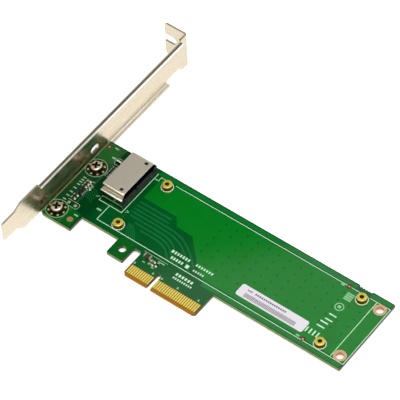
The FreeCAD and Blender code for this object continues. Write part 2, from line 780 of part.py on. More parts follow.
def make_housing():
    """The moulded body with its two jaws about the gap for the drive's edge."""
    body = new_body("connector_housing")
    inset = "(shell_wall + housing_clearance)"
    shoulder = f"shoulder_height - {inset}"
    full = hat_outline(inset, f"shell_height - {inset}", shoulder)
    jaws = hat_outline(inset, "upper_jaw_top", shoulder)
    extrude(
        body, "rear_block", "YZ", HOUSING_BACK, f"{HOUSING_FRONT} - upper_jaw_depth", outlines=[full]
    )
    extrude(body, "jaws", "YZ", HOUSING_BACK, HOUSING_FRONT, outlines=[jaws])
    undercut_back = f"{HOUSING_FRONT} - housing_undercut_depth"
    undercut = box_outline(undercut_back, HOUSING_FRONT, "0", "housing_undercut_height")
    extrude(
        body, "undercut", "XZ", SHELL_LOW_RISE, SHELL_HIGH_RISE, outlines=[undercut], cut=True
    )
    gap_top = "card_gap_floor + card_gap_height"
    first_end = f"{LOW_GROUP_START} + {LOW_GROUP_SPAN} + card_gap_margin"
    second_start = f"{HIGH_GROUP_START} - card_gap_margin"
    second_end = f"{CARD_GAP_LOW} + {CARD_GAP_LENGTH}"
    gaps = [
        box_outline(CARD_GAP_LOW, first_end, "card_gap_floor", gap_top),
        box_outline(second_start, second_end, "card_gap_floor", gap_top),
    ]
    gap_back = f"{HOUSING_FRONT} - card_gap_depth"
    extrude(body, "card_gap", "YZ", gap_back, HOUSING_FRONT, outlines=gaps, cut=True)
    lead_in_edges = [(HOUSING_FRONT, "card_gap_floor"), (HOUSING_FRONT, gap_top)]
    chamfer_along(body, "lead_in", "Y", lead_in_edges, "jaw_lead_in")


def add_contact_rows(body, profile):
    """Repeats one contact profile over both groups of the drive connector."""
    groups = {
        "low_group": (LOW_GROUP_START, "contacts_low_group"),
        "high_group": (HIGH_GROUP_START, "contacts_high_group"),
    }
    for name, (first, count) in groups.items():
        low = f"{first} - drive_contact_width / 2"
        strip = extrude(body, name, "XZ", low, f"{low} + drive_contact_width", outlines=[profile])
        repeat(body, strip, "Y", count, "drive_contact_pitch")


def make_drive_contacts(label, seat, way):
    """A row of bowed spring contacts that lie on one jaw."""
    front = f"{HOUSING_FRONT} - drive_contact_setback"
    back = f"{HOUSING_FRONT} - card_gap_depth"
    crest = f"{seat} {way} (drive_contact_thick + drive_contact_bow)"
    crest_front = f"{front} - drive_contact_ramp"
    profile = [
        (back, seat),
        (front, seat),
        (front, f"{seat} {way} drive_contact_thick"),
        (crest_front, crest),
        (f"{crest_front} - drive_contact_crest", crest),
        (back, f"{seat} {way} drive_contact_thick"),
    ]
    add_contact_rows(new_body(label), profile)


def gull_wing(edge, way, reach, foot, thick, height):
    """A bent lead that leaves an edge level and ends in a flat foot on the board."""
    drop = f"{edge} {way} ({reach} - {foot})"
    toe = f"{edge} {way} {reach}"
    return [
        (edge, height),
        (drop, height),
        (drop, thick),
        (toe, thick),
        (toe, "0"),
        (f"{edge} {way} ({reach} - {foot} - {thick})", "0"),
        (f"{edge} {way} ({reach} - {foot} - {thick})", f"{height} - {thick}"),
        (edge, f"{height} - {thick}"),
    ]


def make_tails():
    """The soldered tails behind the drive connector."""
    profile = gull_wing(
        HOUSING_BACK, "-", "tail_reach", "tail_foot", "drive_contact_thick", "tail_height"
    )
    add_contact_rows(new_body("drive_contact_tails"), profile)


def make_label():
    """A blank adhesive label with round corners."""
    body = new_body("blank_label")
    right = f"{BOARD_RIGHT} - label_end_inset"
    outline = box_outline(
        f"{right} - label_length", right, "label_low_rise", "label_low_rise + label_width"
    )
    extrude(body, "sheet", "XY", "0", "label_thick", outlines=[outline])
    fillet_along(body, "corners", "Z", outline, "label_radius")


def make_regulator():
    """A small five-lead chip: three leads toward the connector and two behind."""
    body = new_body("regulator_body")
    outline = centred_outline((REGULATOR_X, "regulator_rise"), "regulator_width", "regulator_length")
    extrude(body, "moulding", "XY", "regulator_lift", "regulator_height", outlines=[outline])
    leads = new_body("regulator_leads")
    sides = {"+": ("-1", "0", "1"), "-": ("-1", "1")}
    for way, steps in sides.items():
        edge = f"{REGULATOR_X} {way} regulator_width / 2"
        profile = gull_wing(edge, way, "lead_reach", "lead_foot", "lead_thick", "lead_height")
        for index, step in enumerate(steps):
            low = f"regulator_rise + ({step}) * lead_pitch - lead_width / 2"
            side = "front" if way == "+" else "rear"
            extrude(
                leads, f"{side}_lead_{index}", "XZ", low, f"{low} + lead_width", outlines=[profile]
            )


def make_chips(label, places, kind):
    """Two-ended chips of one size: the ceramic bodies and the plated ends."""
    length, width, height, end = (f"{kind}_{part}" for part in ("length", "width", "height", "end"))
    middles = []
    caps = []
    for name, (base, _, _, turned) in places.items():
        centre = (f"({CHIP_BASES[base]} + {name}_run)", f"{name}_rise")
        sizes = (f"{length} - 2 * {end}", width)
        middles.append(centred_outline(centre, *(sizes[::-1] if turned else sizes)))
        for side in "-+":
            shift = f"{side} ({length} - {end}) / 2"
            across = (end, f"{width} + 2 * chip_end_lip")
            if turned:
                cap_centre = (centre[0], f"{centre[1]} {shift}")
                across = across[::-1]
            else:
                cap_centre = (f"{centre[0]} {shift}", centre[1])
            caps.append(centred_outline(cap_centre, *across))
    extrude(new_body(f"{label}_bodies"), "bodies", "XY", "0", height, outlines=middles)
    cap_top = f"{height} + chip_end_lip"
    extrude(new_body(f"{label}_ends"), "ends", "XY", "0", cap_top, outlines=caps)


make_board()
make_fingers("edge_contacts_component_side", "0", "foil_thick")
make_fingers("edge_contacts_solder_side", f"{SOLDER_SIDE} - foil_thick", SOLDER_SIDE)
make_copper_marks()
make_rings(
    "bracket_screw_pads",
    [(SCREW_X, rise) for rise in SCREW_RISES.values()],
    "screw_width / 2 + screw_hole_clearance",
    "screw_pad_width / 2",
)
make_rings(
    "standoff_pads",
    STANDOFFS.values(),
    "standoff_pin_width / 2 + standoff_pin_clearance",
    "standoff_pad_width / 2",
)
make_bracket()
for screw_name, screw_rise in SCREW_RISES.items():
    make_bracket_screw(screw_name, screw_rise)
for standoff_name, standoff_centre in STANDOFFS.items():
    make_standoff(standoff_name, standoff_centre)
for eyelet_name, eyelet_rise in zip(("lower", "upper"), END_HOLE_RISES):
    make_end_eyelet(eyelet_name, eyelet_rise)
make_shell()
make_housing()
make_drive_contacts("drive_contacts_lower", "card_gap_floor", "+")
make_drive_contacts("drive_contacts_upper", "(card_gap_floor + card_gap_height)", "-")
make_tails()
make_label()
make_regulator()
make_chips("chip_resistor", RESISTORS, "chip")
make_chips("chip_capacitor", BYPASS_CAPACITORS, "chip")
make_chips("large_capacitor", LARGE_CAPACITOR, "capacitor")
make_chips("signal_lamp", SIGNAL_LAMP, "lamp")
doc.recompute()

for item in doc.Objects:
    if {"Invalid", "Error"} & set(item.State):
        raise RuntimeError(f"{item.Name} could not be built: {item.State}")
for piece in pieces:
    if piece.Shape.isNull() or not piece.Shape.isValid():
        raise RuntimeError(f"{piece.Label} has no valid shape")

os.makedirs("parts", exist_ok=True)
for piece in pieces:
    piece.Shape.exportStep(f"parts/{piece.Label}.step")
    print(piece.Label, len(piece.Shape.Solids), round(piece.Shape.Volume, 3))
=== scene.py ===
import math

import bmesh
import bpy
from mathutils import Matrix, Quaternion, Vector


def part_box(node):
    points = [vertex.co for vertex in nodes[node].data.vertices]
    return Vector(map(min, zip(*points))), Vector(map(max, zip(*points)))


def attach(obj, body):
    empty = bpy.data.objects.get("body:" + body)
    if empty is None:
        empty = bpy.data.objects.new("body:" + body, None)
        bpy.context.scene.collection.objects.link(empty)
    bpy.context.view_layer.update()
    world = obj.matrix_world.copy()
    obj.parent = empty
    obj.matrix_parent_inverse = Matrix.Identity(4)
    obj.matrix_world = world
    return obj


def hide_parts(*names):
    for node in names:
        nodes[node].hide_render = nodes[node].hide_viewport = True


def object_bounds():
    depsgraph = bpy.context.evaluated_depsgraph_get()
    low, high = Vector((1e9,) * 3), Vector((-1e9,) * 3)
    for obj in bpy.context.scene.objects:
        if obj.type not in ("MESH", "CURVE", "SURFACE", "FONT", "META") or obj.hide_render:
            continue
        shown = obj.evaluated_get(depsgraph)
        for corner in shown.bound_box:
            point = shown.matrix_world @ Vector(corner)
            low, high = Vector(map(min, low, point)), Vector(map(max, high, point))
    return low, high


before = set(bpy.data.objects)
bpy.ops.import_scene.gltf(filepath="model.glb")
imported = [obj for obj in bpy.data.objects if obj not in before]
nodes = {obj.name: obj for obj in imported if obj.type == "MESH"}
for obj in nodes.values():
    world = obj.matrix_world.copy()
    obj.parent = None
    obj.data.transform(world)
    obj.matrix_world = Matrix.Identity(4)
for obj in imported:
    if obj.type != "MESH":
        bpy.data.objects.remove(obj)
cad_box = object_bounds()

# Camera
# A long lens looks down on the component side from beyond the far lower corner, so that
# the bracket stands at the upper left and the card runs down to the lower right.
MM = 0.001
scene = bpy.context.scene
camera_place = Vector((463.17, -524.23, 945.96)) * MM
ahead = Vector((-0.39357, 0.47504, -0.78705)).normalized()
right = Vector((0.79585, 0.60460, -0.03305)).normalized()
up = right.cross(ahead)
FOCAL_PIXELS = 3005.2
PICTURE_PIXELS = 400
eye = bpy.data.objects.new("eye", bpy.data.cameras.new("eye"))
scene.collection.objects.link(eye)
turn = Matrix((right, up, -ahead)).transposed().to_4x4()
eye.matrix_world = Matrix.Translation(camera_place) @ turn
eye.data.sensor_width = 36
eye.data.lens = eye.data.sensor_width * FOCAL_PIXELS / PICTURE_PIXELS
eye.data.clip_start = 0.1
eye.data.clip_end = 20
scene.camera = eye
scene.view_settings.view_transform = "Standard"


# Table and lamps
# A white studio table carries the card on its lowest points, in a room that is dim overhead.
# Four soft panels light it. The rear one is mirrored by the mask from a slanting line
# onward, which lays a pale veil over the far part of the board.
def linear(code):
    """A colour written as sRGB hex, in the linear values that shaders take."""
    parts = [int(code[i : i + 2], 16) / 255 for i in (0, 2, 4)]
    lines = [c / 12.92 if c <= 0.04045 else ((c + 0.055) / 1.055) ** 2.4 for c in parts]
    return (*lines, 1.0)


def add(tree, kind, inputs=None, **settings):
    """Adds a node, of the shader family if its kind names none. Settings are its own fields,
    and inputs are values, sockets, or nodes, which stand for their first output."""
    node = tree.nodes.new(kind if "Node" in kind else "ShaderNode" + kind)
    for name, value in settings.items():
        setattr(node, name, value)
    for socket, value in (inputs or {}).items():
        if isinstance(value, bpy.types.Node):
            value = value.outputs[0]
        if isinstance(value, bpy.types.NodeSocket):
            tree.links.new(value, node.inputs[socket])
        else:
            node.inputs[socket].default_value = value
    return node


def maths(tree, operation, *values):
    """A step of arithmetic on values, sockets or nodes."""
    return add(tree, "Math", dict(enumerate(values)), operation=operation)


def blend(tree, share, *colours):
    """The colour that a share picks between two, each a code or another colour's socket."""
    one, other = (linear(c) if isinstance(c, str) else c for c in colours)
    return add(tree, "Mix", {0: share, 6: one, 7: other}, data_type="RGBA").outputs[2]


def new_finish(name):
    """An empty node material, and its tree."""
    finish = bpy.data.materials.new(name)
    finish.use_nodes = True
    finish.node_tree.nodes.clear()
    return finish, finish.node_tree


def end_finish(tree, surface):
    """Ends a finish with a shader, or with the inputs of a plain coat."""
    if isinstance(surface, dict):
        surface = add(tree, "BsdfPrincipled", surface)
    add(tree, "OutputMaterial", {"Surface": surface})


def put(name, mesh, finish=None):
    """A finished mesh as an object at the origin."""
    mesh.name = name
    if finish:
        mesh.materials.clear()
        mesh.materials.append(finish)
    thing = bpy.data.objects.new(name, mesh)
    scene.collection.objects.link(thing)
    return thing


TABLE_LEVEL = cad_box[0].z - 0.02 * MM
TABLE_HALF = 2.5
SEEN_GLOW = 0.55
MIRRORED_GLOW = 0.35

# Matt white. Its glow, which only the eye and mirrors see, keeps it white to the edge of
# the picture and gives the metal something pale to show.
white_laminate, tree = new_finish("white_table_laminate")
path = add(tree, "LightPath")
glossy = path.outputs["Is Glossy Ray"]
seen = maths(tree, "MAXIMUM", path.outputs["Is Camera Ray"], glossy)
mirrored = maths(tree, "MULTIPLY", glossy, MIRRORED_GLOW)
lift = maths(tree, "MULTIPLY_ADD", seen, SEEN_GLOW, mirrored)
glow = add(tree, "Emission", {"Color": linear("FFFFFF"), "Strength": lift})
matt = add(tree, "BsdfDiffuse", {"Color": linear("E4E4E4")})
end_finish(tree, add(tree, "AddShader", {0: matt, 1: glow}))
corners = ((-1, -1), (1, -1), (1, 1), (-1, 1))
table_mesh = bpy.data.meshes.new("table_top")
table_mesh.from_pydata(
    [(x * TABLE_HALF, y * TABLE_HALF, TABLE_LEVEL) for x, y in corners], [], [(0, 1, 2, 3)]
)
table = put("table_top", table_mesh, white_laminate)

room = bpy.data.worlds.new("dim_room")
scene.world = room
room.use_nodes = True
tree = room.node_tree
direction = add(tree, "TexCoord")
height = add(tree, "SeparateXYZ", {0: direction.outputs["Generated"]})
walls = {"From Min": 0.45, "From Max": 0.73, "To Min": 0.75, "To Max": 0.012}
dimmed = add(tree, "MapRange", {"Value": height.outputs["Z"], **walls})
tree.links.new(dimmed.outputs[0], tree.nodes["Background"].inputs["Strength"])
tree.nodes["Background"].inputs["Color"].default_value = linear("FFFFFF")


def soft_panel(name, place, aim, size, watts, turn=0):
    """A rectangular lamp that faces a point at table level, turned about its own axis."""
    lamp = bpy.data.lights.new(name, "AREA")
    lamp.shape = "RECTANGLE"
    lamp.size, lamp.size_y = size
    lamp.energy = watts
    thing = bpy.data.objects.new(name, lamp)
    scene.collection.objects.link(thing)
    thing.location = place
    facing = Vector((*aim, 0)) - thing.location
    spin = Quaternion((0, 0, 1), math.radians(turn))
    thing.rotation_euler = (facing.to_track_quat("-Z", "Y") @ spin).to_euler()


soft_panel("overhead_panel", (0.28, -0.18, 0.86), (0.0, 0.0), (0.8, 0.6), 6.9)
soft_panel("rear_panel", (-0.277, 0.468, 0.92), (-0.277, 0.468), (0.6, 0.34), 0.47, 45)
soft_panel("far_panel", (0.40, 0.80, 0.92), (0.40, 0.80), (0.8, 0.35), 1.95)
soft_panel("front_panel", (-0.5, -0.95, 0.6), (0.0, 0.0), (0.8, 0.5), 4.6)


# Printed board
# Glass cloth and epoxy pressed into a sheet, routed to shape and drilled, then coated on
# both faces with a green photo-cured mask that leaves the cut edges bare and tan.
def millimetres(tree):
    """Object coordinates in millimetres, so that each pattern takes a real size."""
    spot = add(tree, "TexCoord")
    scaled = {0: spot.outputs["Object"], 1: (1000, 1000, 1000)}
    return add(tree, "VectorMath", scaled, operation="MULTIPLY")


WEAVE_PITCH = 0.6
MASK_RIPPLE = 1.4
MASK_CLOUD = 9.0
RELIEF = 0.02 * MM


def mask_layers(name, code, cloud_code):
    """Glossy photo-cured mask: clear green that pools slightly over the weave below it.
    Returns what a finish goes on from: material, tree, place, green and coat."""
    finish, tree = new_finish(name)
    place = millimetres(tree)
    clouds = {"Vector": place, "Scale": 1 / MASK_CLOUD, "Detail": 4.0, "Roughness": 0.6}
    cloud = add(tree, "TexNoise", clouds)
    share = add(tree, "MapRange", {"Value": cloud, "From Min": 0.35, "From Max": 0.7})
    green = blend(tree, share, code, cloud_code)
    weave = {"Vector": place, "Scale": 2 * math.pi / 20 / WEAVE_PITCH, "Distortion": 0.4}
    threads = [add(tree, "TexWave", weave, bands_direction=way) for way in "XY"]
    cloth = maths(tree, "MULTIPLY", *(thread.outputs["Fac"] for thread in threads))
    ripple = add(tree, "TexNoise", {"Vector": place, "Scale": 1 / MASK_RIPPLE, "Detail": 2.0})
    height = maths(tree, "MULTIPLY_ADD", cloth, 0.25, ripple)
    swell = add(tree, "Bump", {"Height": height, "Strength": 0.07, "Distance": RELIEF})
    gloss = {"Base Color": green, "Roughness": 0.07, "IOR": 1.5, "Normal": swell}
    return finish, tree, place, green, add(tree, "BsdfPrincipled", gloss)


def way_up(tree):
    """The true normal's three parts, which tell faces that look up from sides and ends."""
    shape = add(tree, "NewGeometry")
    return add(tree, "SeparateXYZ", {0: shape.outputs["True Normal"]})


BACK_COPPER_EDGE = -41.0
CUT_SLOPE = 0.985
BEVEL_TOP = 1.4

# Deep green on the faces, darker left of the back foil's edge, partly because no foil lies behind
# it and partly as painted shade from the bracket. The cut edges show epoxy and glass: amber at the
# tongue's bevel, grey-green along the sides, and darker at the far end, which is painted shade.
board_finish, tree, place, green, mask = mask_layers(
    "green_mask_over_laminate", "004E1E", "005820"
)
facing = way_up(tree)
upright = maths(tree, "ABSOLUTE", facing.outputs["Z"])
cut = maths(tree, "LESS_THAN", upright, CUT_SLOPE)
where = add(tree, "SeparateXYZ", {0: place})
tongue = maths(tree, "LESS_THAN", where.outputs["Y"], BEVEL_TOP)
fibre = add(tree, "TexNoise", {"Vector": place, "Scale": 3.0, "Detail": 6.0})
pale = blend(tree, tongue, "7A9050", "A06C00")
dark = blend(tree, tongue, "5E6C2C", "825200")
# Painted shade: cut edges that face the far end take a darker tan.
far_edge_painted_shade = maths(tree, "GREATER_THAN", facing.outputs["X"], 0.5)
tan = blend(tree, far_edge_painted_shade, blend(tree, fibre, pale, dark), "3E4626")
raw = {"Base Color": tan, "Roughness": 0.6, "IOR": 1.5, "Specular IOR Level": 0.25}
edge = add(tree, "BsdfPrincipled", raw)
# Darker green left of the back foil's edge: partly no foil behind the board, partly painted shade
# from the bracket.
fade = {"From Min": BACK_COPPER_EDGE - 1.5, "From Max": BACK_COPPER_EDGE + 4}
unbacked_and_shaded = add(tree, "MapRange", {"Value": where.outputs["X"], **fade})
tree.links.new(blend(tree, unbacked_and_shaded, "003C16", green), mask.inputs["Base Color"])
end_finish(tree, add(tree, "MixShader", {0: cut, 1: mask, 2: edge}))


def dress(node, finish):
    """Gives every slot of a CAD node one finish."""
    slots = nodes[node].data.materials
    for index in range(len(slots)):
        slots[index] = finish


dress("printed_board", board_finish)


# Copper under the mask
# Etched foil: a wide ground area that fills the far part of both faces, and long signal
# lines that run from the connector and turn down to the contact tongue.
FOIL = 0.02
NEAR_LOWER_HOLE = (-28.7, 17.7, 1.8)
HOLES = [(79.65, 44.3, 1.75), (79.65, 17.7, 1.75), (-24.5, 44.3, 1.8), NEAR_LOWER_HOLE]
HOLES += [(71.1, 44.3, 1.8), (70.15, 17.7, 1.8)]


def round_loop(x, y, radius, steps=32):
    turns = [2 * math.pi * i / steps for i in range(steps)]
    return [(x + radius * math.cos(a), y + radius * math.sin(a)) for a in turns]


def ride(piece):
    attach(piece, "root")


def made(thing):
    """The mesh that an object's outline or modifiers make. The object itself goes."""
    seen = thing.evaluated_get(bpy.context.evaluated_depsgraph_get())
    mesh = bpy.data.meshes.new_from_object(seen)
    bpy.data.objects.remove(thing)
    return mesh


def flat_shape(name, loops, low, high, finish):
    """A thin flat piece: its outlines and holes as closed loops, between two levels."""
    curve = bpy.data.curves.new(name, "CURVE")
    curve.dimensions = "2D"
    curve.fill_mode = "BOTH"
    curve.extrude = (high - low) / 2 * MM
    for loop in loops:
        spline = curve.splines.new("POLY")
        spline.points.add(len(loop) - 1)
        for point, (x, y) in zip(spline.points, loop):
            point.co = (x * MM, y * MM, 0, 1)
        spline.use_cyclic_u = True
    drawn = bpy.data.objects.new(name + "_drawn", curve)
    scene.collection.objects.link(drawn)
    mesh = made(drawn)
    mesh.transform(Matrix.Translation((0, 0, (high + low) / 2 * MM)))
    weld(mesh)
    ride(put(name, mesh, finish))


def weld(mesh):
    """Joins points that lie together and turns all faces outward."""
    work = bmesh.new()
    work.from_mesh(mesh)
    bmesh.ops.remove_doubles(work, verts=work.verts, dist=1e-7)
    bmesh.ops.recalc_face_normals(work, faces=work.faces)
    work.to_mesh(mesh)
    work.free()


def mask_finish(name, code, cloud_code):
    """The mask over foil: the same gloss, and a green that tells what lies below it."""
    finish, tree, _, _, coat = mask_layers(name, code, cloud_code)
    end_finish(tree, coat)
    return finish


pour_finish = mask_finish("green_mask_over_copper", "027219", "04761F")
GROUND = [
    (-29.0, 34.5), (-12.3, 34.5), (-9.2, 30.6), (-1.2, 30.4), (10.2, 18.8), (14.5, 15.9),
    (82.72, 15.9), (82.72, 46.2), (-28.6, 46.2), (-28.6, 44.9), (-29.0, 44.9),
]
ground_holes = [round_loop(*hole) for hole in HOLES if hole != NEAR_LOWER_HOLE]
flat_shape("ground_area", [GROUND] + ground_holes, 0, FOIL, pour_finish)
band_finish = mask_finish("green_mask_over_border_copper", "0A6C24", "0C7428")
UPPER_BAND = [
    (-31.0, 47.4), (66.3, 47.4), (66.3, 49.1), (72.9, 49.1), (72.9, 47.4), (82.4, 47.4),
    (82.4, 49.2), (73.0, 49.2), (73.0, 49.15), (66.2, 49.15), (66.2, 49.2), (-31.0, 49.2),
]
LOWER_BAND = [(16.0, 12.95), (82.4, 12.95), (82.4, 14.6), (16.0, 14.6)]
flat_shape("border_copper_upper", [UPPER_BAND], 0, FOIL, band_finish)
flat_shape("border_copper_lower", [LOWER_BAND], 0, FOIL, band_finish)
CORNER_AREAS = [
    [(-57.5, 40.3), (-50.0, 40.3), (-50.0, 49.2), (-57.5, 49.2)],
    [(-57.4, 5.3), (-43.8, 5.3), (-43.8, 13.0), (-49.0, 13.6), (-57.4, 13.6)],
    [(-23.7, 5.0), (-17.1, 5.0), (-17.1, 12.6), (-17.1, 13.8), (-23.7, 13.8)],
]
corner_finish = mask_finish("green_mask_over_corner_copper", "055618", "075E1C")
corner_holes = [round_loop(-53.8, 9.9, 1.8), round_loop(-19.975, 9.25, 1.75)]
flat_shape("corner_copper", CORNER_AREAS + corner_holes, 0, FOIL, corner_finish)


def ribbon(work, path, width, low, high, closed):
    """Adds a flat strip of even width along a path, with mitred corners."""
    count = len(path)
    spots = [Vector(p) for p in path]
    rings = []
    for i, spot in enumerate(spots):
        before = spots[i - 1] if i or closed else None
        after = spots[(i + 1) % count] if i < count - 1 or closed else None
        ways = [(spot - before).normalized()] if before is not None else []
        ways += [(after - spot).normalized()] if after is not None else []
        along = sum(ways, Vector((0, 0))).normalized()
        side = Vector((-along.y, along.x))
        reach = width / 2 / max(0.3, side.dot(Vector((-ways[0].y, ways[0].x))))
        left, right = spot + side * reach, spot - side * reach
        corners = [(right, low), (left, low), (left, high), (right, high)]
        rings.append([work.verts.new((p.x * MM, p.y * MM, z * MM)) for p, z in corners])
    for here, there in zip(rings, rings[1:] + rings[:1] if closed else rings[1:]):
        for k in range(4):
            work.faces.new((here[k], here[(k + 1) % 4], there[(k + 1) % 4], there[k]))
    if not closed:
        work.faces.new(rings[0])
        work.faces.new(rings[-1][::-1])


def form(work):
    """A plain mesh of what was built, with all its faces outward."""
    bmesh.ops.recalc_face_normals(work, faces=work.faces)
    mesh = bpy.data.meshes.new("form")
    work.to_mesh(mesh)
    work.free()
    return mesh


def strips(name, paths, low, high, finish):
    """One piece made of many strips: (path, width), and True as well if the path closes."""
    work = bmesh.new()
    for path, width, *closed in paths:
        ribbon(work, path, width, low, high, bool(closed))
    ride(put(name, form(work), finish))


def rounded(path):
    """Cuts the corners of a path twice, so that it turns as a drawn line does."""
    for _ in range(2):
        softer = [path[0]]
        for a, b in zip(path, path[1:]):
            softer.append(tuple(0.75 * p + 0.25 * q for p, q in zip(a, b)))
            softer.append(tuple(0.25 * p + 0.75 * q for p, q in zip(a, b)))
        path = softer + [path[-1]]
    return path


def beside(path, shift):
    """The same path, a little to its left."""
    moved = []
    for i, spot in enumerate(path):
        before, after = path[max(i - 1, 0)], path[min(i + 1, len(path) - 1)]
        along = Vector((after[0] - before[0], after[1] - before[1])).normalized()
        moved.append((spot[0] - shift * along.y, spot[1] + shift * along.x))
    return moved


trace_finish = mask_finish("green_mask_over_signal_lines", "1A7440", "1E7C46")
PAIR_GAP = 0.42
LINE_WIDTH = 0.2
FINE_WIDTH = 0.18
SIGNALS = [
    [(-28.8, 32.1), (-13.2, 32.1)],
    [(-28.8, 30.1), (-12.6, 30.1)],
    [
        (-28.8, 28.2), (-10.0, 28.2), (-6.0, 27.7), (-2.0, 26.3), (2.5, 23.6), (6.5, 20.2),
        (8.8, 17.9),
    ],
    [
        (-28.8, 26.4), (-11.0, 26.4), (-6.0, 25.6), (-2.6, 24.3), (0.4, 22.5), (3.6, 20.0),
        (7.8, 15.6),
    ],
    [(-28.2, 24.5), (-12.0, 24.5), (-8.0, 23.8), (-5.0, 22.5), (-2.4, 20.5), (2.3, 15.6)],
    [(-24.0, 22.5), (-12.0, 22.5), (-9.0, 22.1), (-6.0, 21.0), (-3.6, 19.4), (0.2, 15.6)],
    [(-20.0, 20.6), (-11.0, 20.6), (-8.0, 19.9), (-5.4, 18.5), (-2.5, 15.6)],
]
signal_lines = [
    (beside(rounded(path), shift), LINE_WIDTH)
    for path in SIGNALS
    for shift in (-PAIR_GAP / 2, PAIR_GAP / 2)
]
for step in range(5):
    fan = [(-25.8 + 0.5 * step, 21.0), (-24.9 + 0.9 * step, 18.6), (-22.6 + 1.0 * step, 15.4)]
    signal_lines.append((rounded(fan), FINE_WIDTH))
for level in (21.4, 22.6, 23.8, 25.0, 26.2):
    bent = [(-50.0, level), (-46.5, level), (-44.5, level - 1.6)]
    signal_lines.append((bent, FINE_WIDTH))
strips("signal_lines", signal_lines, 0, FOIL, trace_finish)


# Vias under the mask
# Plated holes that join the ground areas of both faces. The mask bridges each one and
# sinks over it, which shows as a small darker dot on a regular grid.
def new_growth(name, **kinds):
    """A geometry tree with named inputs, and the sockets that bring them in."""
    tree = bpy.data.node_groups.new(name, "GeometryNodeTree")
    tree.interface.new_socket("Geometry", in_out="INPUT", socket_type="NodeSocketGeometry")
    for label, kind in kinds.items():
        tree.interface.new_socket(label, in_out="INPUT", socket_type="NodeSocket" + kind)
    tree.interface.new_socket("Geometry", in_out="OUTPUT", socket_type="NodeSocketGeometry")
    return tree, add(tree, "NodeGroupInput").outputs


def end_growth(tree, geometry, finish):
    """Realises the copies and gives them their finish, as the last steps of a tree."""
    solid = add(tree, "GeometryNodeRealizeInstances", {0: geometry})
    coated = add(tree, "GeometryNodeSetMaterial", {"Geometry": solid, "Material": finish})
    add(tree, "NodeGroupOutput", {0: coated})


def grow(name, tree, slot, start=None, **sizes):
    """Runs a tree on a start mesh and keeps the result as one plain piece on the card."""
    host = put(name + "_start", start or bpy.data.meshes.new("points"))
    growth = host.modifiers.new("growth", "NODES")
    growth.node_group = tree
    for item in tree.interface.items_tree:
        if item.name in sizes:
            growth[item.identifier] = sizes[item.name]
    piece = put(name, made(host))
    ride(piece)
    return piece


dimple_finish = mask_finish("green_mask_sunk_over_vias", "055214", "065816")
VIA_SEED = 4
VIA_PITCH = (5.22, 4.12)
VIA_RADIUS = 0.45
VIA_RISE = 0.012
via_inputs = {"Columns": "Int", "Rows": "Int", "Pitch_X": "Float", "Pitch_Y": "Float"}
via_inputs |= {"Corner": "Vector", "Dot_Radius": "Float", "Dot_Rise": "Float", "Kept": "Float"}
via_tree, given = new_growth("via_grid", **via_inputs)
spans = []
for count, pitch in (("Columns", "Pitch_X"), ("Rows", "Pitch_Y")):
    less = maths(via_tree, "SUBTRACT", given[count], 1.0)
    spans.append(maths(via_tree, "MULTIPLY", less, given[pitch]))
counts = {"Vertices X": given["Columns"], "Vertices Y": given["Rows"]}
sizes = {"Size X": spans[0], "Size Y": spans[1], **counts}
grid = add(via_tree, "GeometryNodeMeshGrid", sizes)
halves = {i: maths(via_tree, "MULTIPLY", span, 0.5) for i, span in enumerate(spans)}
middle = add(via_tree, "CombineXYZ", halves)
centre = add(via_tree, "VectorMath", {0: middle, 1: given["Corner"]}, operation="ADD")
placed = add(via_tree, "GeometryNodeTransform", {"Geometry": grid, "Translation": centre})
draw = {"Probability": given["Kept"], "Seed": VIA_SEED}
kept = add(via_tree, "FunctionNodeRandomValue", draw, data_type="BOOLEAN")
round_dot = {"Vertices": 14, "Radius": given["Dot_Radius"], "Depth": given["Dot_Rise"]}
dot = add(via_tree, "GeometryNodeMeshCylinder", round_dot)
spread = {"Points": placed, "Selection": kept.outputs[3], "Instance": dot}
dots = add(via_tree, "GeometryNodeInstanceOnPoints", spread)
end_growth(via_tree, dots, dimple_finish)


def via_field(name, columns, rows, corner, level, kept, pitch=VIA_PITCH, radius=VIA_RADIUS):
    """Dots on a grid that starts at a corner. Kept is the share of them that is there."""
    sizes = {"Pitch_X": pitch[0] * MM, "Pitch_Y": pitch[1] * MM, "Dot_Radius": radius * MM}
    sizes |= {"Dot_Rise": VIA_RISE * MM, "Corner": [v * MM for v in (*corner, level)]}
    grow(name, via_tree, "laminate", Columns=columns, Rows=rows, Kept=kept, **sizes)


via_field("ground_vias", 14, 5, (6.1, 26.5), FOIL, 0.9)
via_field("ground_vias_low", 4, 1, (11.3, 22.3), FOIL, 1.0)
via_field("near_vias", 3, 2, (-56.0, 42.0), FOIL, 0.7, (2.4, 2.2), 0.3)


# Printed ink
# White epoxy ink, screened over the mask and cured: the outline of the drive that the
# card carries, outlines round parts, and rows of plain bars.
INK_LOW = 0.021
INK_HIGH = 0.036
LINE = 0.3
RING_LINE = 0.26


def ink_finish(name, code):
    """Matt ink that covers unevenly, so that flecks of the green show through."""
    finish, tree = new_finish(name)
    place = millimetres(tree)
    speck = add(tree, "TexNoise", {"Vector": place, "Scale": 4.0, "Detail": 3.0})
    thinning = {"Value": speck, "From Min": 0.52, "From Max": 0.72, "To Max": 0.5}
    thin = add(tree, "MapRange", thinning)
    tone = blend(tree, thin, code, "6FAE78")
    end_finish(tree, {"Base Color": tone, "Roughness": 0.45, "IOR": 1.5})
    return finish


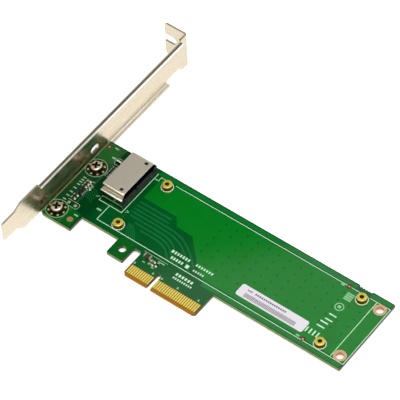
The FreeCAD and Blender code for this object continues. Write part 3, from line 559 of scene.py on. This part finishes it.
line_ink = ink_finish("white_epoxy_ink", "C2EBC6")
word_ink = ink_finish("white_epoxy_ink_in_bars", "86C08E")
OUTLINES = [
    [(-37.45, 23.0), (-37.45, 15.03), (82.9, 15.03), (82.9, 46.87)],
    [(82.7, 46.72), (73.3, 46.72)],
    [(68.9, 46.72), (-22.0, 46.72)],
    [(-26.9, 46.72), (-29.3, 46.72), (-29.3, 44.75), (-31.3, 44.75)],
    [(76.7, 46.5), (76.7, 15.25)],
    [(-31.45, 47.7), (-31.45, 23.3), (-42.8, 23.3), (-42.8, 24.3)],
]
strips("printed_outlines", [(path, LINE) for path in OUTLINES], INK_LOW, INK_HIGH, line_ink)
TWO_PADS = [
    (-53.2, 13.8), (-47.6, 13.8), (-47.0, 14.4), (-47.0, 16.0), (-47.6, 16.6), (-53.2, 16.6),
]
LAMP = [
    (-46.6, 44.6), (-49.0, 44.6), (-49.8, 43.9), (-49.8, 41.9), (-49.0, 41.2), (-46.6, 41.2),
]
SMALL_OUTLINES = [
    (TWO_PADS, 0.22),
    (LAMP, 0.22),
    ([(-30.4, 25.6), (-29.2, 25.0), (-30.4, 24.4)], 0.3),
    ([(-44.9, 24.0), (-43.7, 24.9)], 0.35),
    ([(-12.2, 13.6), (-0.6, 13.6)], 0.2),
]
for x, y in ((-53.8, 35.35), (-53.8, 9.9)):
    on_board = [spot for spot in round_loop(x, y, 4.6, 48) if spot[0] > -58.0]
    SMALL_OUTLINES.append((on_board[24:] + on_board[:24], RING_LINE))
strips("printed_rings", SMALL_OUTLINES, INK_LOW, INK_HIGH, word_ink)


def bar(x, y, length, height):
    """A plain bar of ink, as a path and its width."""
    return [(x, y), (x + length, y)], height


WORD_ROWS = [
    (-3.4, 20.0, [1.0] + [0.75] * 6, 1.3, 0.55),
    (8.6, 20.0, [0.7] * 7, 1.1, 0.55),
    (-1.8, 17.3, [0.75] * 5, 1.3, 0.5),
    (5.4, 17.2, [1.5], 1.7, 0),
    (9.2, 17.2, [0.6] * 5, 0.9, 0.5),
    (4.8, 11.9, [0.9] * 6, 1.3, 0.55),
    (4.8, 9.9, [0.6] * 9, 0.9, 0.45),
]
words = []
for x, y, lengths, height, gap in WORD_ROWS:
    for length in lengths:
        words.append(bar(x, y, length, height))
        x += length + gap
for x, y, length in ((64.6, 31.6, 3.4), (64.6, 28.9, 3.4), (63.7, 27.0, 3.6), (63.7, 24.6, 3.6)):
    words.append(bar(x, y, length, 0.6))
words += [([(x, 19.2), (x, 21.8)], 0.6) for x in (61.9, 63.6, 65.3, 67.0)]
strips("printed_words", words, INK_LOW, INK_HIGH, line_ink)

bars = [bar(x - 0.35, 6.7, 0.7, 0.9) for x in (-11.7, -2.7, 1.8, 9.6, 19.8)]
bars += [bar(-55.2, y, 1.5, 0.55) for y in (28.7, 27.4, 26.1, 24.6, 22.4, 20.0, 17.8, 15.6)]
bars += [bar(-50.6, y, 1.1, 0.45) for y in (28.9, 27.3, 25.8, 24.4)]
bars += [bar(-40.8, 19.3, 2.2, 0.8), bar(-46.3, 11.6, 1.9, 0.7), bar(-54.0, 48.0, 1.9, 0.6)]
bars += [bar(-52.0, 43.5, 1.8, 0.8), bar(60.0, 46.0, 1.6, 0.7), bar(60.0, 16.0, 1.6, 0.7)]
bars += [bar(64.6, y, 3.4, 0.75) for y in (40.9, 41.9, 42.9, 43.9)]
bars += [(round_loop(66.0, 36.4, 1.75, 28), 0.45, True), bar(65.3, 36.4, 1.4, 1.3)]
bars += [bar(x - 0.6, y, 1.2, 0.5) for x, y in ((-9.2, 9.1), (-4.6, 8.7))]
bars += [bar(-4.6, 12.6, 3.2, 0.5)]
strips("printed_bars", bars, INK_LOW, INK_HIGH, word_ink)


# Contact fingers
# Copper fingers with nickel and hard gold plated over them, and the drive connector's
# springs, plated alike: soft yellow metal with fine lines brushed along it by insertion.
gold_finish, tree = new_finish("hard_gold_plate")
place = millimetres(tree)
stretch = add(tree, "VectorMath", {0: place, 1: (9.0, 0.7, 1.0)}, operation="MULTIPLY")
scratch = add(tree, "TexNoise", {"Vector": stretch, "Scale": 1.0, "Detail": 4.0})
worn = blend(tree, scratch, "FFF08C", "F2DC60")
rub = add(tree, "MapRange", {"Value": scratch, "To Min": 0.58, "To Max": 0.74})
end_finish(tree, {"Base Color": worn, "Metallic": 1.0, "Roughness": rub})
for side in ("component", "solder"):
    dress(f"edge_contacts_{side}_side", gold_finish)
for row in ("lower", "upper"):
    dress("drive_contacts_" + row, gold_finish)


# Bare laminate
# The mask stops short of the tongue and of the board's edge at the bracket, so epoxy glass
# shows between the fingers and as a thin strip along the sheet metal.
def plain_finish(name, code, other, scale, detail, coat, relief=0):
    """Two close tones that a fine grain mixes, under a coat of even gloss. Relief is how
    strongly the same grain stands out."""
    finish, tree = new_finish(name)
    place = millimetres(tree)
    grain = add(tree, "TexNoise", {"Vector": place, "Scale": scale, "Detail": detail})
    coat = {"Base Color": blend(tree, grain, code, other), **coat}
    if relief:
        bump = {"Height": grain, "Strength": relief, "Distance": RELIEF}
        coat["Normal"] = add(tree, "Bump", bump)
    end_finish(tree, coat)
    return finish


def laminate_finish(name, code, other, rough):
    """Bare epoxy glass: matt, with the cloth's threads as a faint mottle."""
    return plain_finish(name, code, other, 1 / WEAVE_PITCH, 3.0, {"Roughness": rough, "IOR": 1.5})


amber_finish = laminate_finish("bare_epoxy_glass", "5C3800", "744A00", 0.5)
BARE_TOP = 5.65
BARE_SKIN = 0.012
BOARD_UNDER = -1.57
TONGUES = [(-12.55, -1.0), (1.0, 22.55)]
bare_loops = [[(a, 1.35), (b, 1.35), (b, BARE_TOP), (a, BARE_TOP)] for a, b in TONGUES]
flat_shape("bare_tongue_face", bare_loops, 0, BARE_SKIN, amber_finish)
flat_shape("bare_tongue_back", bare_loops, BOARD_UNDER - BARE_SKIN, BOARD_UNDER, amber_finish)
margin_finish = laminate_finish("bare_board_margin", "8E9C6C", "6E7E4C", 0.55)
MARGIN = [(-58.06, 4.85), (-57.66, 4.85), (-57.66, 49.75), (-58.06, 49.75)]
flat_shape("bare_board_margin", [MARGIN], 0, BARE_SKIN, margin_finish)


# Bare copper marks and end holes
# Round sighting marks for the placing machine, a test disc, an empty two-pad footprint and
# two plated holes: copper under a thin wash of tin. The marks stand in windows of the mask.
def metal_finish(name, code, other, rough, rough_to, grain, shaded_hollows=(), shaded_flank=None, metallic=1.0):
    """Metal whose two close tones and gloss both drift over the surface. Shaded hollows are the
    middles of recesses, around which the tone is painted near black as painted shade; shaded
    flank is the gloss and the darker tone of faces that don't look up, a painted shade; and
    metallic falls where a flux or lacquer film covers the metal."""
    finish, tree = new_finish(name)
    place = millimetres(tree)
    drift = add(tree, "TexNoise", {"Vector": place, "Scale": 1 / grain, "Detail": 4.0})
    tone = blend(tree, drift, code, other)
    gloss = add(tree, "MapRange", {"Value": drift, "To Min": rough, "To Max": rough_to})
    # Painted shade: faces that don't look up take the flank's darker tone.
    if shaded_flank:
        up = {"Value": way_up(tree).outputs["Z"], "From Min": 0.35, "From Max": 0.8}
        up_share = add(tree, "MapRange", up)
        gloss = add(tree, "Mix", {0: up_share, 2: shaded_flank[0], 3: gloss})
        tone = blend(tree, up_share, shaded_flank[1], tone)
    # Painted shade: near black around the middle of each recess.
    for spot in shaded_hollows:
        away = add(tree, "VectorMath", {0: place, 1: spot}, operation="DISTANCE")
        near = {"Value": away.outputs["Value"], "From Min": 1.35, "From Max": 1.1}
        tone = blend(tree, add(tree, "MapRange", near), tone, "2A2418")
    end_finish(tree, {"Base Color": tone, "Metallic": metallic, "Roughness": gloss})
    return finish


# Dull salmon copper, brown laminate in the windows, and a paler bright wash in the holes,
# whose walls are painted a darker brown as painted shade.
copper_coat = {"Metallic": 1.0, "Roughness": 0.5}
copper_finish = plain_finish("bare_copper", "E6BE90", "C29462", 1.5, 4.0, copper_coat)
window_finish = laminate_finish("laminate_in_mask_window", "3C2404", "583808", 0.45)
# Painted shade: the hole walls take the darker flank tone.
eyelet_finish = metal_finish(
    "tin_washed_copper", "FBD9B4", "E0AE82", 0.5, 0.64, 1.1, shaded_flank=(0.5, "B07C58")
)
dress("bare_copper_marks", copper_finish)
for row in ("lower", "upper"):
    dress("end_hole_eyelet_" + row, eyelet_finish)
WINDOWS = [(-56.25, 47.1), (63.45, 46.7), (63.45, 15.7)]
DISC_RADIUS = 0.42
COPPER_TOP = 0.05
windows = [round_loop(x, y, 1.2) for x, y in WINDOWS]
flat_shape("mark_windows", windows, FOIL, 0.03, window_finish)
window_rings = [round_loop(x, y, r) for x, y in WINDOWS for r in (0.82, DISC_RADIUS)]
flat_shape("mark_window_rings", window_rings, COPPER_TOP, 0.056, window_finish)
discs = [round_loop(x, y, DISC_RADIUS, 20) for x, y in WINDOWS]
flat_shape("mark_discs", discs, COPPER_TOP, 0.06, eyelet_finish)


# Screw pads
# Tinned copper rings that the screw heads bear on, joined through the board by eight
# plated holes filled with solder, which stand out as low domes.
def soften(mesh, degrees=35):
    """Shades round faces smooth and keeps the edges between unlike faces sharp."""
    mesh.shade_smooth()
    mesh.set_sharp_from_angle(angle=math.radians(degrees))


def middle_of(node):
    """The middle of a CAD node across the board, in millimetres."""
    low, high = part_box(node)
    return tuple((low + high) / 2 / MM)[:2]


def points_at(spots, level=0):
    """A mesh of loose points at one level, in millimetres, for a tree to put copies on."""
    mesh = bpy.data.meshes.new("points")
    mesh.from_pydata([(x * MM, y * MM, level * MM) for x, y in spots], [], [])
    return mesh


# Glossy tin painted dark olive, a painted reflection of the dark bracket and room that it
# mirrors, and paler, softer solder in the holes.
dress("bracket_screw_pads", metal_finish("tinned_copper_pad", "4A4620", "2C2A14", 0.22, 0.36, 0.8))
dome_codes = ("CFCB98", "A6A070")
dome_finish = metal_finish("solder_in_plated_hole", *dome_codes, 0.3, 0.45, 0.5, metallic=0.5)
dome_inputs = {"Ring_Radius": "Float", "Dome_Radius": "Float", "Dome_Rise": "Float"}
dome_tree, given = new_growth("ring_of_domes", Count="Int", **dome_inputs)
ring = {"Vertices": given["Count"], "Radius": given["Ring_Radius"]}
circle = add(dome_tree, "GeometryNodeMeshCircle", ring)
rings = {"Points": given["Geometry"], "Instance": circle}
around = add(dome_tree, "GeometryNodeInstanceOnPoints", rings)
ring_points = add(dome_tree, "GeometryNodeRealizeInstances", {0: around})
ball = add(dome_tree, "GeometryNodeMeshUVSphere", {"Segments": 14, "Rings": 8, "Radius": 1.0})
flattened = {0: given["Dome_Radius"], 1: given["Dome_Radius"], 2: given["Dome_Rise"]}
dome_size = add(dome_tree, "CombineXYZ", flattened)
balls = {"Points": ring_points, "Instance": ball, "Scale": dome_size}
end_growth(dome_tree, add(dome_tree, "GeometryNodeInstanceOnPoints", balls), dome_finish)
SCREWS = ("bracket_screw_lower", "bracket_screw_upper")
screw_spots = [middle_of(node) for node in SCREWS]
start = points_at(screw_spots, COPPER_TOP)
dome_sizes = {"Ring_Radius": 3.4 * MM, "Dome_Radius": 0.5 * MM, "Dome_Rise": 0.09 * MM}
domes = grow("screw_pad_domes", dome_tree, "bare_copper", start, Count=8, **dome_sizes)
soften(domes.data)


# Bracket screws
# Pan-head machine screws of zinc-plated steel, cold-headed with a cross recess and thread-
# rolled, driven through the board into the bracket's tabs.
def turned(profile, steps):
    """A closed form turned about the upright axis from (radius, height) points."""
    work = bmesh.new()
    rings = []
    for radius, level in profile:
        loop = round_loop(0, 0, radius, steps) if radius else [(0, 0)]
        rings.append([work.verts.new((x * MM, y * MM, level * MM)) for x, y in loop])
    for low, high in zip(rings, rings[1:]):
        for i in range(steps):
            j = (i + 1) % steps
            if len(low) == 1:
                work.faces.new((low[0], high[j], high[i]))
            elif len(high) == 1:
                work.faces.new((low[i], low[j], high[0]))
            else:
                work.faces.new((low[i], low[j], high[j], high[i]))
    return form(work)


def thread(radius, low, high, pitch, depth):
    """Profile points of a rolled thread, drawn as closed rings from low to high."""
    turns = int((high - low) / pitch)
    profile = [(radius, low)]
    for i in range(turns):
        foot = low + i * pitch
        profile += [(radius - depth, foot + pitch / 2), (radius, foot + pitch)]
    return profile


copy_tree, given = new_growth("copies_on_points", Part="Object", Turn="Float", Finish="Material")
part = {"Object": given["Part"]}
part_shape = add(copy_tree, "GeometryNodeObjectInfo", part, transform_space="ORIGINAL")
about = add(copy_tree, "CombineXYZ", {2: given["Turn"]})
placing = {"Points": given["Geometry"], "Instance": part_shape.outputs["Geometry"]}
placed = add(copy_tree, "GeometryNodeInstanceOnPoints", {**placing, "Rotation": about})
end_growth(copy_tree, placed, given["Finish"])


def copies(name, mesh, spots, slot, finish, degrees=0, smooth=True):
    """One piece with a form on each spot, turned about the upright axis."""
    part = put(name + "_form", mesh)
    turn = math.radians(degrees)
    piece = grow(name, copy_tree, slot, points_at(spots), Part=part, Turn=turn, Finish=finish)
    bpy.data.objects.remove(part)
    if smooth:
        soften(piece.data)
    return piece


# Bright zinc on what looks up, with painted shade: brown painted on the flanks, and near
# black painted down in the recess.
recess_shade_middles = [(x, y, 0.85) for x, y in screw_spots]
zinc_finish = metal_finish(
    "zinc_plated_steel", "F4ECD8", "D8CDB4", 0.3, 0.42, 1.2, recess_shade_middles, (0.35, "4A4234")
)
HEAD_RADIUS = 2.6
SHANK_RADIUS = 1.5
SCREW_TIP = -2.95
shank_profile = [(0, SCREW_TIP), (1.2, SCREW_TIP)]
shank_profile += thread(SHANK_RADIUS, SCREW_TIP + 0.3, -0.4, 0.45, 0.2)
head_profile = [
    (SHANK_RADIUS, 0.05), (HEAD_RADIUS - 0.08, 0.05), (HEAD_RADIUS, 0.14), (HEAD_RADIUS, 1.05),
    (2.54, 1.35), (2.38, 1.62), (2.14, 1.83), (1.85, 1.94), (1.3, 2.01), (0.7, 2.04), (0, 2.05),
]
screw_part = put("screw_form", turned(shank_profile + head_profile, 48))
RECESS_TAPER = 0.62
RECESS_FLOOR = 0.35
RECESS_ROOF = 2.6
RECESS_TURN = 28
work = bmesh.new()
for wide, deep in ((1.95, 0.55), (0.55, 1.95)):
    low, high = (
        [work.verts.new((x * wide * k * MM, y * deep * k * MM, z * MM)) for x, y in corners]
        for k, z in ((RECESS_TAPER, RECESS_FLOOR), (1, RECESS_ROOF))
    )
    for i in range(4):
        j = (i + 1) % 4
        work.faces.new((low[i], low[j], high[j], high[i]))
    work.faces.new(low[::-1])
    work.faces.new(high)
cutter = put("cross_cutter", form(work))
cut = screw_part.modifiers.new("cross_recess", "BOOLEAN")
cut.object = cutter
cut.solver = "EXACT"
cut.use_self = True
screw_form = made(screw_part)
bpy.data.objects.remove(cutter)
screw_form.transform(Matrix.Rotation(math.radians(RECESS_TURN), 4, "Z"))
screws = copies("bracket_screws", screw_form, screw_spots, "zinc_steel", zinc_finish)
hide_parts(*SCREWS)


# Standoffs
# Small brass bushes, turned and tapped, that carry the drive's screws. Each is pressed
# with its pin into the board and soldered to a tinned ring.
BUSH_RADIUS = 2.1
BUSH_TOP = 2.0
BORE = 0.62
PIN_END = -1.4
bore_profile = [(BORE + 0.04, PIN_END), (BORE + 0.04, 1.45)]
bush_profile = [(BORE + 0.3, 1.98), (BORE + 0.32, BUSH_TOP), (1.8, BUSH_TOP), (1.95, 1.97)]
bush_profile += [(BUSH_RADIUS, 1.84), (BUSH_RADIUS, 0.32), (1.86, 0.26), (1.86, 0.05)]
bush_profile += [(1.55, 0.05), (1.55, PIN_END)]
bush_form = turned(bore_profile + bush_profile + bore_profile[:1], 48)
weld(bush_form)
BUSHES = [f"standoff_{end}_{row}" for end in ("near", "far") for row in ("upper", "lower")]
bush_spots = [middle_of(node) for node in BUSHES]

# Yellow brass dulled by lacquer, brown painted down its sides as painted shade, and darker
# still in the tapped bore.
brass_finish = metal_finish(
    "turned_brass", "F0E878", "DCD058", 0.5, 0.64, 0.9, shaded_flank=(0.3, "6A5414")
)
standoffs = copies("standoffs", bush_form, bush_spots, "brass", brass_finish)
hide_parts(*BUSHES)
tapped_finish = metal_finish("dull_tapped_brass", "A87410", "7C500A", 0.4, 0.55, 0.4)
tapped_profile = [(0, -1.35)] + thread(BORE, -1.35, 1.45, 0.4, 0.14)
tapped_profile += [(BORE + 0.28, 1.995), (BORE + 0.29, 1.97), (BORE + 0.03, 1.42)]
tapped_profile += [(BORE + 0.03, PIN_END), (0, PIN_END)]
copies("tapped_bores", turned(tapped_profile, 32), bush_spots, "brass", tapped_finish)

# Solder that flux film keeps pale, round a ring of dark, nearly mirror-bright solder.
solder_finish = metal_finish("bright_solder", "E8EACC", "D6D8B8", 0.4, 0.55, 0.7, metallic=0.15)
dress("standoff_pads", metal_finish("flowed_solder", "8E8A66", "6C6844", 0.16, 0.26, 0.7))
COLLAR = [(2.3, 0.05), (2.72, 0.05), (2.7, 0.12), (2.6, 0.18), (2.45, 0.17), (2.3, 0.1)]
collar_form = turned(COLLAR + COLLAR[:1], 40)
copies("solder_collars", collar_form, bush_spots, "tin", solder_finish)


# Mounting bracket
# Cold-rolled steel, 0.86 mm thick, punched and folded: the slot plate, its screw flange,
# two stiffening lips and two tabs under the board. Bright nickel plate, sheared edges dull.
def eased_copy(node, name, finish, width, folds, fold_width):
    """Takes the place of a CAD node with a copy: its folds, as (axis, place, axis, place)
    of their outer edges, rounded widely, and its other sharp edges eased."""
    mesh = nodes[node].data.copy()
    work = bmesh.new()
    work.from_mesh(mesh)
    bmesh.ops.remove_doubles(work, verts=work.verts, dist=1e-6)
    flat = math.radians(1)
    bmesh.ops.dissolve_limit(work, angle_limit=flat, verts=work.verts, edges=work.edges)
    wide = [
        edge
        for edge in work.edges
        for a, place_a, b, place_b in folds
        if all(
            abs(v.co[a] / MM - place_a) < 0.02 and abs(v.co[b] / MM - place_b) < 0.02
            for v in edge.verts
        )
    ]
    bmesh.ops.bevel(
        work, geom=wide, offset=fold_width * MM, segments=5, profile=0.5, affect="EDGES"
    )
    work.to_mesh(mesh)
    work.free()
    sharp = put(name, mesh)
    ease = sharp.modifiers.new("eased_edges", "BEVEL")
    ease.width = width * MM
    ease.segments = 2
    ease.limit_method = "ANGLE"
    ease.angle_limit = math.radians(30)
    ease.miter_outer = "MITER_ARC"
    eased = made(sharp)
    soften(eased, 40)
    for face in eased.polygons:
        face.use_smooth = max(abs(way) for way in face.normal) < 0.9999
    piece = put(name, eased, finish)
    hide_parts(node)
    ride(piece)


LIP_MIDDLE = 52.65
LIP_HALF = 46.7
LIP_EDGE = -57.5
LIP_CORNER = (0, -57.16, 2, 15.8)

# Warm bright plate with long rolling marks, which mirrors the table and the board. Sheared
# edges past the lips and the lip's top edge are duller, and the lip's top edge and the lower
# lip's upward faces are painted near white, a painted highlight.
nickel_finish, tree = new_finish("bright_nickel_plate")
place = millimetres(tree)
roll = add(tree, "VectorMath", {0: place, 1: (0.6, 0.04, 0.6)}, operation="MULTIPLY")
rolling = add(tree, "TexNoise", {"Vector": roll, "Scale": 1.0, "Detail": 5.0})
sheen = blend(tree, rolling, "C2B7A3", "B4A993")
hazes = {"From Min": 0.3, "From Max": 0.7, "To Min": 0.26, "To Max": 0.3}
haze = add(tree, "MapRange", {"Value": rolling, **hazes})
spot = add(tree, "SeparateXYZ", {0: place})
facing = way_up(tree)
from_middle = maths(tree, "SUBTRACT", spot.outputs["Y"], LIP_MIDDLE)
past_lips = maths(tree, "GREATER_THAN", maths(tree, "ABSOLUTE", from_middle), LIP_HALF)
upward = maths(tree, "GREATER_THAN", facing.outputs["Z"], 0.3)
lip_edge = maths(tree, "GREATER_THAN", spot.outputs["X"], LIP_EDGE)
above = maths(tree, "GREATER_THAN", spot.outputs["Z"], 10.0)
low = maths(tree, "LESS_THAN", spot.outputs["Z"], 0.0)
sheared = maths(tree, "MULTIPLY", past_lips, upward)
top_edge = maths(tree, "MULTIPLY", lip_edge, above)
low_lip = maths(tree, "MULTIPLY", low, upward)
any_edge = maths(tree, "MAXIMUM", sheared, top_edge)
# Painted highlight: the lip's top edge and the lower lip's upward faces are painted near white.
painted_highlight_edges = maths(tree, "MAXIMUM", top_edge, low_lip)
torn = maths(tree, "MULTIPLY_ADD", any_edge, 0.4, haze)
pale = blend(tree, painted_highlight_edges, sheen, "FFFCF4")
pebble = add(tree, "TexNoise", {"Vector": place, "Scale": 0.35, "Detail": 2.0})
wave = add(tree, "Bump", {"Height": pebble, "Strength": 0.06, "Distance": RELIEF})
end_finish(tree, {"Base Color": pale, "Metallic": 1.0, "Roughness": torn, "Normal": wave})
eased_copy(
    "mounting_bracket", "bracket_plate", nickel_finish, 0.06, [LIP_CORNER], 0.7
)


# Drive connector shell
# Thin stainless steel, stamped and folded into a hat over the connector, with latch windows
# and legs that go through the board. Its rolled surface is satin, its folds shine.
SHOULDER = 5.7
CROWN = 8.1
CROWN_LOWER, CROWN_UPPER = 26.1, 45.9
shell_low, shell_high = ((corner / MM).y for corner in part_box("connector_shell"))
SHELL_FOLDS = [(1, shell_low, 2, SHOULDER), (1, shell_high, 2, SHOULDER)]
SHELL_FOLDS += [(1, CROWN_LOWER, 2, CROWN), (1, CROWN_UPPER, 2, CROWN)]

# Pale satin steel on top, and glossier walls that mirror the board beside them, painted greyer
# as painted shade.
shell_finish, tree = new_finish("satin_stainless_steel")
place = millimetres(tree)
mill = add(tree, "VectorMath", {0: place, 1: (0.5, 3.0, 0.5)}, operation="MULTIPLY")
rolling = add(tree, "TexNoise", {"Vector": mill, "Scale": 1.0, "Detail": 5.0})
steel = blend(tree, rolling, "F0E7D4", "E4DAC7")
facing = way_up(tree)
dulls = {"Value": facing.outputs["Z"], "From Max": 0.35, "To Min": 0.08, "To Max": 0.4}
dulled = add(tree, "MapRange", dulls)
walls = {"Value": facing.outputs["Z"], "From Min": 0.1, "From Max": 0.02}
# Painted shade: walls take a greyer tone than the top.
walls_painted_darker = blend(tree, add(tree, "MapRange", walls), steel, "A09888")
haze = maths(tree, "MULTIPLY_ADD", rolling, 0.1, dulled)
end_finish(tree, {"Base Color": walls_painted_darker, "Metallic": 1.0, "Roughness": haze})
eased_copy(
    "connector_shell", "connector_hat", shell_finish, 0.08, SHELL_FOLDS, 0.6
)


# Drive connector housing and contacts
# Black liquid-crystal polymer, moulded with a slot for the cable's card edge, as is the
# regulator. The connector's tinned tails are soldered at the back. To the eye, near-black
# resin with a fine sparkle, and clean pale tin with a soft shine.
resin_name = "black_liquid_crystal_polymer"
resin_coat = {"Roughness": 0.32, "IOR": 1.5}
resin_finish = plain_finish(resin_name, "0C0A0E", "17151B", 6.0, 3.0, resin_coat, 0.3)
tin_finish = metal_finish("bright_tin", "F2F2EA", "D2D2C8", 0.34, 0.5, 0.5)
for node in ("connector_housing", "regulator_body"):
    dress(node, resin_finish)
for node in ("drive_contact_tails", "regulator_leads"):
    dress(node, tin_finish)


# Chips
# Thick-film resistors with a black glaze and multilayer capacitors of tan ceramic, each
# with tinned ends, and a small lamp of milky resin with dark ends.
def ceramic_finish(name, code, other, rough, grain):
    """Fired ceramic or glaze: a fine fleck, slightly pitted."""
    return plain_finish(name, code, other, 1 / grain, 3.0, {"Roughness": rough, "IOR": 1.55}, 0.15)


glaze_finish = ceramic_finish("black_resistor_glaze", "0E0E10", "1C1C20", 0.3, 0.3)
dress("chip_resistor_bodies", glaze_finish)
dress("chip_capacitor_bodies", ceramic_finish("tan_ceramic", "97907C", "7C705A", 0.45, 0.25))
dress("large_capacitor_bodies", ceramic_finish("brown_ceramic", "4A3410", "38270C", 0.45, 0.25))
dress("signal_lamp_bodies", ceramic_finish("milky_lamp_resin", "E6E2D2", "D2CDB8", 0.35, 0.3))
dress("signal_lamp_ends", metal_finish("dark_tinned_ends", "3C3A34", "24221E", 0.3, 0.4, 0.5))
for kind in ("chip_resistor", "chip_capacitor", "large_capacitor"):
    dress(kind + "_ends", tin_finish)


# Empty footprint
# Two copper pads with no chip on them: the paste was printed and reflowed all the same, so
# each carries a thin flat layer of tin.
FOOTPRINT = [(-51.8, 15.2), (-48.5, 15.2)]
pad_loops = [[(x + a * 0.62, y + b * 0.47) for a, b in corners] for x, y in FOOTPRINT]
flat_shape("footprint_solder", pad_loops, COPPER_TOP, 0.11, tin_finish)


# Label
# Matt white polyester film with a paper-like coat, stuck over the ground area and printed
# with plain, slightly patchy grey bars of transfer ink.
film_finish = plain_finish(
    "white_polyester_film", "E2DEE4", "D8D4DA", 5.0, 4.0, {"Roughness": 0.55, "IOR": 1.46}, 0.1
)
dress("blank_label", film_finish)
print_finish = plain_finish(
    "grey_transfer_ink", "3A383E", "605C66", 6.0, 2.0, {"Roughness": 0.5, "IOR": 1.5}
)
PRINT_LOW, PRINT_HIGH = (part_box("blank_label")[1].z / MM + rise for rise in (0.001, 0.012))
comb_inputs = {"Count": "Int", "Pitch": "Float", "Bar_Size": "Vector"}
comb_tree, given = new_growth("comb_of_bars", **comb_inputs)
step = add(comb_tree, "CombineXYZ", {0: given["Pitch"]})
row = add(comb_tree, "GeometryNodeMeshLine", {"Count": given["Count"], "Offset": step})
rows = {"Points": given["Geometry"], "Instance": row}
rows_placed = add(comb_tree, "GeometryNodeInstanceOnPoints", rows)
row_points = add(comb_tree, "GeometryNodeRealizeInstances", {0: rows_placed})
one_bar = add(comb_tree, "GeometryNodeMeshCube", {"Size": given["Bar_Size"]})
comb = add(comb_tree, "GeometryNodeInstanceOnPoints", {"Points": row_points, "Instance": one_bar})
end_growth(comb_tree, comb, print_finish)
PRINT_ROWS = {
    "label_bars_tall": ((32.7, 19.5), 41, 0.6, (0.3, 2.1)),
    "label_bars_short": ((32.7, 22.1), 3, 0.8, (0.5, 0.8)),
    "label_bars_row": ((36.4, 22.1), 15, 1.0, (0.7, 0.8)),
}
for name, (first, count, pitch, (wide, tall)) in PRINT_ROWS.items():
    start = points_at([first], (PRINT_LOW + PRINT_HIGH) / 2)
    bar_size = (wide * MM, tall * MM, (PRINT_HIGH - PRINT_LOW) * MM)
    grow(name, comb_tree, "label_film", start, Count=count, Pitch=pitch * MM, Bar_Size=bar_size)


# Coupling chips
# Five small chips in a row beside the connector's tails, built like the others: a glazed
# ceramic block with eased edges, and an end of tin over each of its short sides.
def block(low, high, easing):
    """A small block with eased edges, between two corners in millimetres."""
    work = bmesh.new()
    bmesh.ops.create_cube(work, size=1.0)
    for corner in work.verts:
        corner.co = Vector((high[i] if corner.co[i] > 0 else low[i]) * MM for i in range(3))
    bmesh.ops.bevel(
        work, geom=work.edges[:], offset=easing * MM, segments=2, profile=0.5, affect="EDGES"
    )
    return form(work)


COUPLING_ROW = [(-47.7, 34.4 + 1.3 * i) for i in range(5)]
COUPLING_PARTS = {
    "bodies": ((-0.58, -0.4, 0.05), (0.58, 0.4, 0.5), "resistor_glaze", glaze_finish),
    "ends_left": ((-0.8, -0.42, 0.02), (-0.45, 0.42, 0.53), "tin", tin_finish),
    "ends_right": ((0.45, -0.42, 0.02), (0.8, 0.42, 0.53), "tin", tin_finish),
}
for part, (low, high, slot, finish) in COUPLING_PARTS.items():
    copies("coupling_chip_" + part, block(low, high, 0.05), COUPLING_ROW, slot, finish)


# Solder at the small chips
# Reflowed paste that wets each chip end and draws up it in a small hollow wedge. It keeps
# the same pale flux film as the other joints.
WEDGE = [(0.0, 0.0), (0.42, 0.0), (0.24, 0.05), (0.1, 0.16), (0.0, 0.36)]
work = bmesh.new()
sides = [[work.verts.new((x * MM, y * MM, z * MM)) for x, z in WEDGE] for y in (-0.42, 0.42)]
for i in range(len(WEDGE)):
    j = (i + 1) % len(WEDGE)
    work.faces.new((sides[0][i], sides[0][j], sides[1][j], sides[1][i]))
work.faces.new(sides[0])
work.faces.new(sides[1][::-1])
wedge_form = form(work)
CHIP_HALF = 0.8
FLAT_CHIPS = [
    (-51.8, 28.1), (-51.8, 26.6), (-51.8, 25.1), (-51.8, 19.7), (-51.8, 17.9), (-6.1, 11.3),
    (-6.1, 9.6),
]
UPRIGHT_CHIPS = [(-48.9, 25.9), (-3.8, 10.9)]
ENDS = {
    "right": (0, [(x + CHIP_HALF, y) for x, y in FLAT_CHIPS]),
    "left": (180, [(x - CHIP_HALF, y) for x, y in FLAT_CHIPS]),
    "upper": (90, [(x, y + CHIP_HALF) for x, y in UPRIGHT_CHIPS]),
    "lower": (-90, [(x, y - CHIP_HALF) for x, y in UPRIGHT_CHIPS]),
}
for end, (degrees, spots) in ENDS.items():
    copies("chip_solder_" + end, wedge_form, spots, "tin", solder_finish, degrees, smooth=False)


# Solder side
# The hidden face carries the same green mask over a ground area, the pins of the standoffs
# and the legs of the connector shell, each in its cone of solder.
BACK_GROUND = [(-41.0, 16.2), (81.9, 16.2), (81.9, 46.2), (-41.0, 46.2)]
BACK_BAND = [(-40.0, 47.3), (66.0, 47.3), (66.0, 49.1), (-40.0, 49.1)]
BACK_FOIL = BOARD_UNDER - FOIL
back_loops = [BACK_GROUND] + [round_loop(x, y, 1.95) for x, y, _ in HOLES]
flat_shape("back_ground_area", back_loops, BACK_FOIL, BOARD_UNDER, pour_finish)
flat_shape("back_border_copper", [BACK_BAND], BACK_FOIL, BOARD_UNDER, band_finish)
via_field("back_vias", 14, 5, (6.1, 26.5), BACK_FOIL, 0.9)


def hung(profile, steps):
    """A turned form whose levels are measured from the solder side."""
    return turned([(radius, BOARD_UNDER + level) for radius, level in profile], steps)


CONE = [(0, -0.62), (0.3, -0.6), (0.42, -0.5), (0.5, -0.32), (0.72, -0.12), (1.1, 0), (0, 0)]
leg_rows = (shell_low + 0.15, shell_high - 0.15)
leg_spots = [(x, y) for x in (-33.25, -39.25) for y in leg_rows]
copies("shell_leg_solder", hung(CONE, 20), leg_spots, "tin", solder_finish)
BEAD = [(1.5, 0), (2.45, 0), (2.3, -0.08), (1.9, -0.2), (1.62, -0.42), (1.5, -0.42), (1.5, 0)]
copies("standoff_pin_solder", hung(BEAD, 36), bush_spots, "tin", solder_finish)
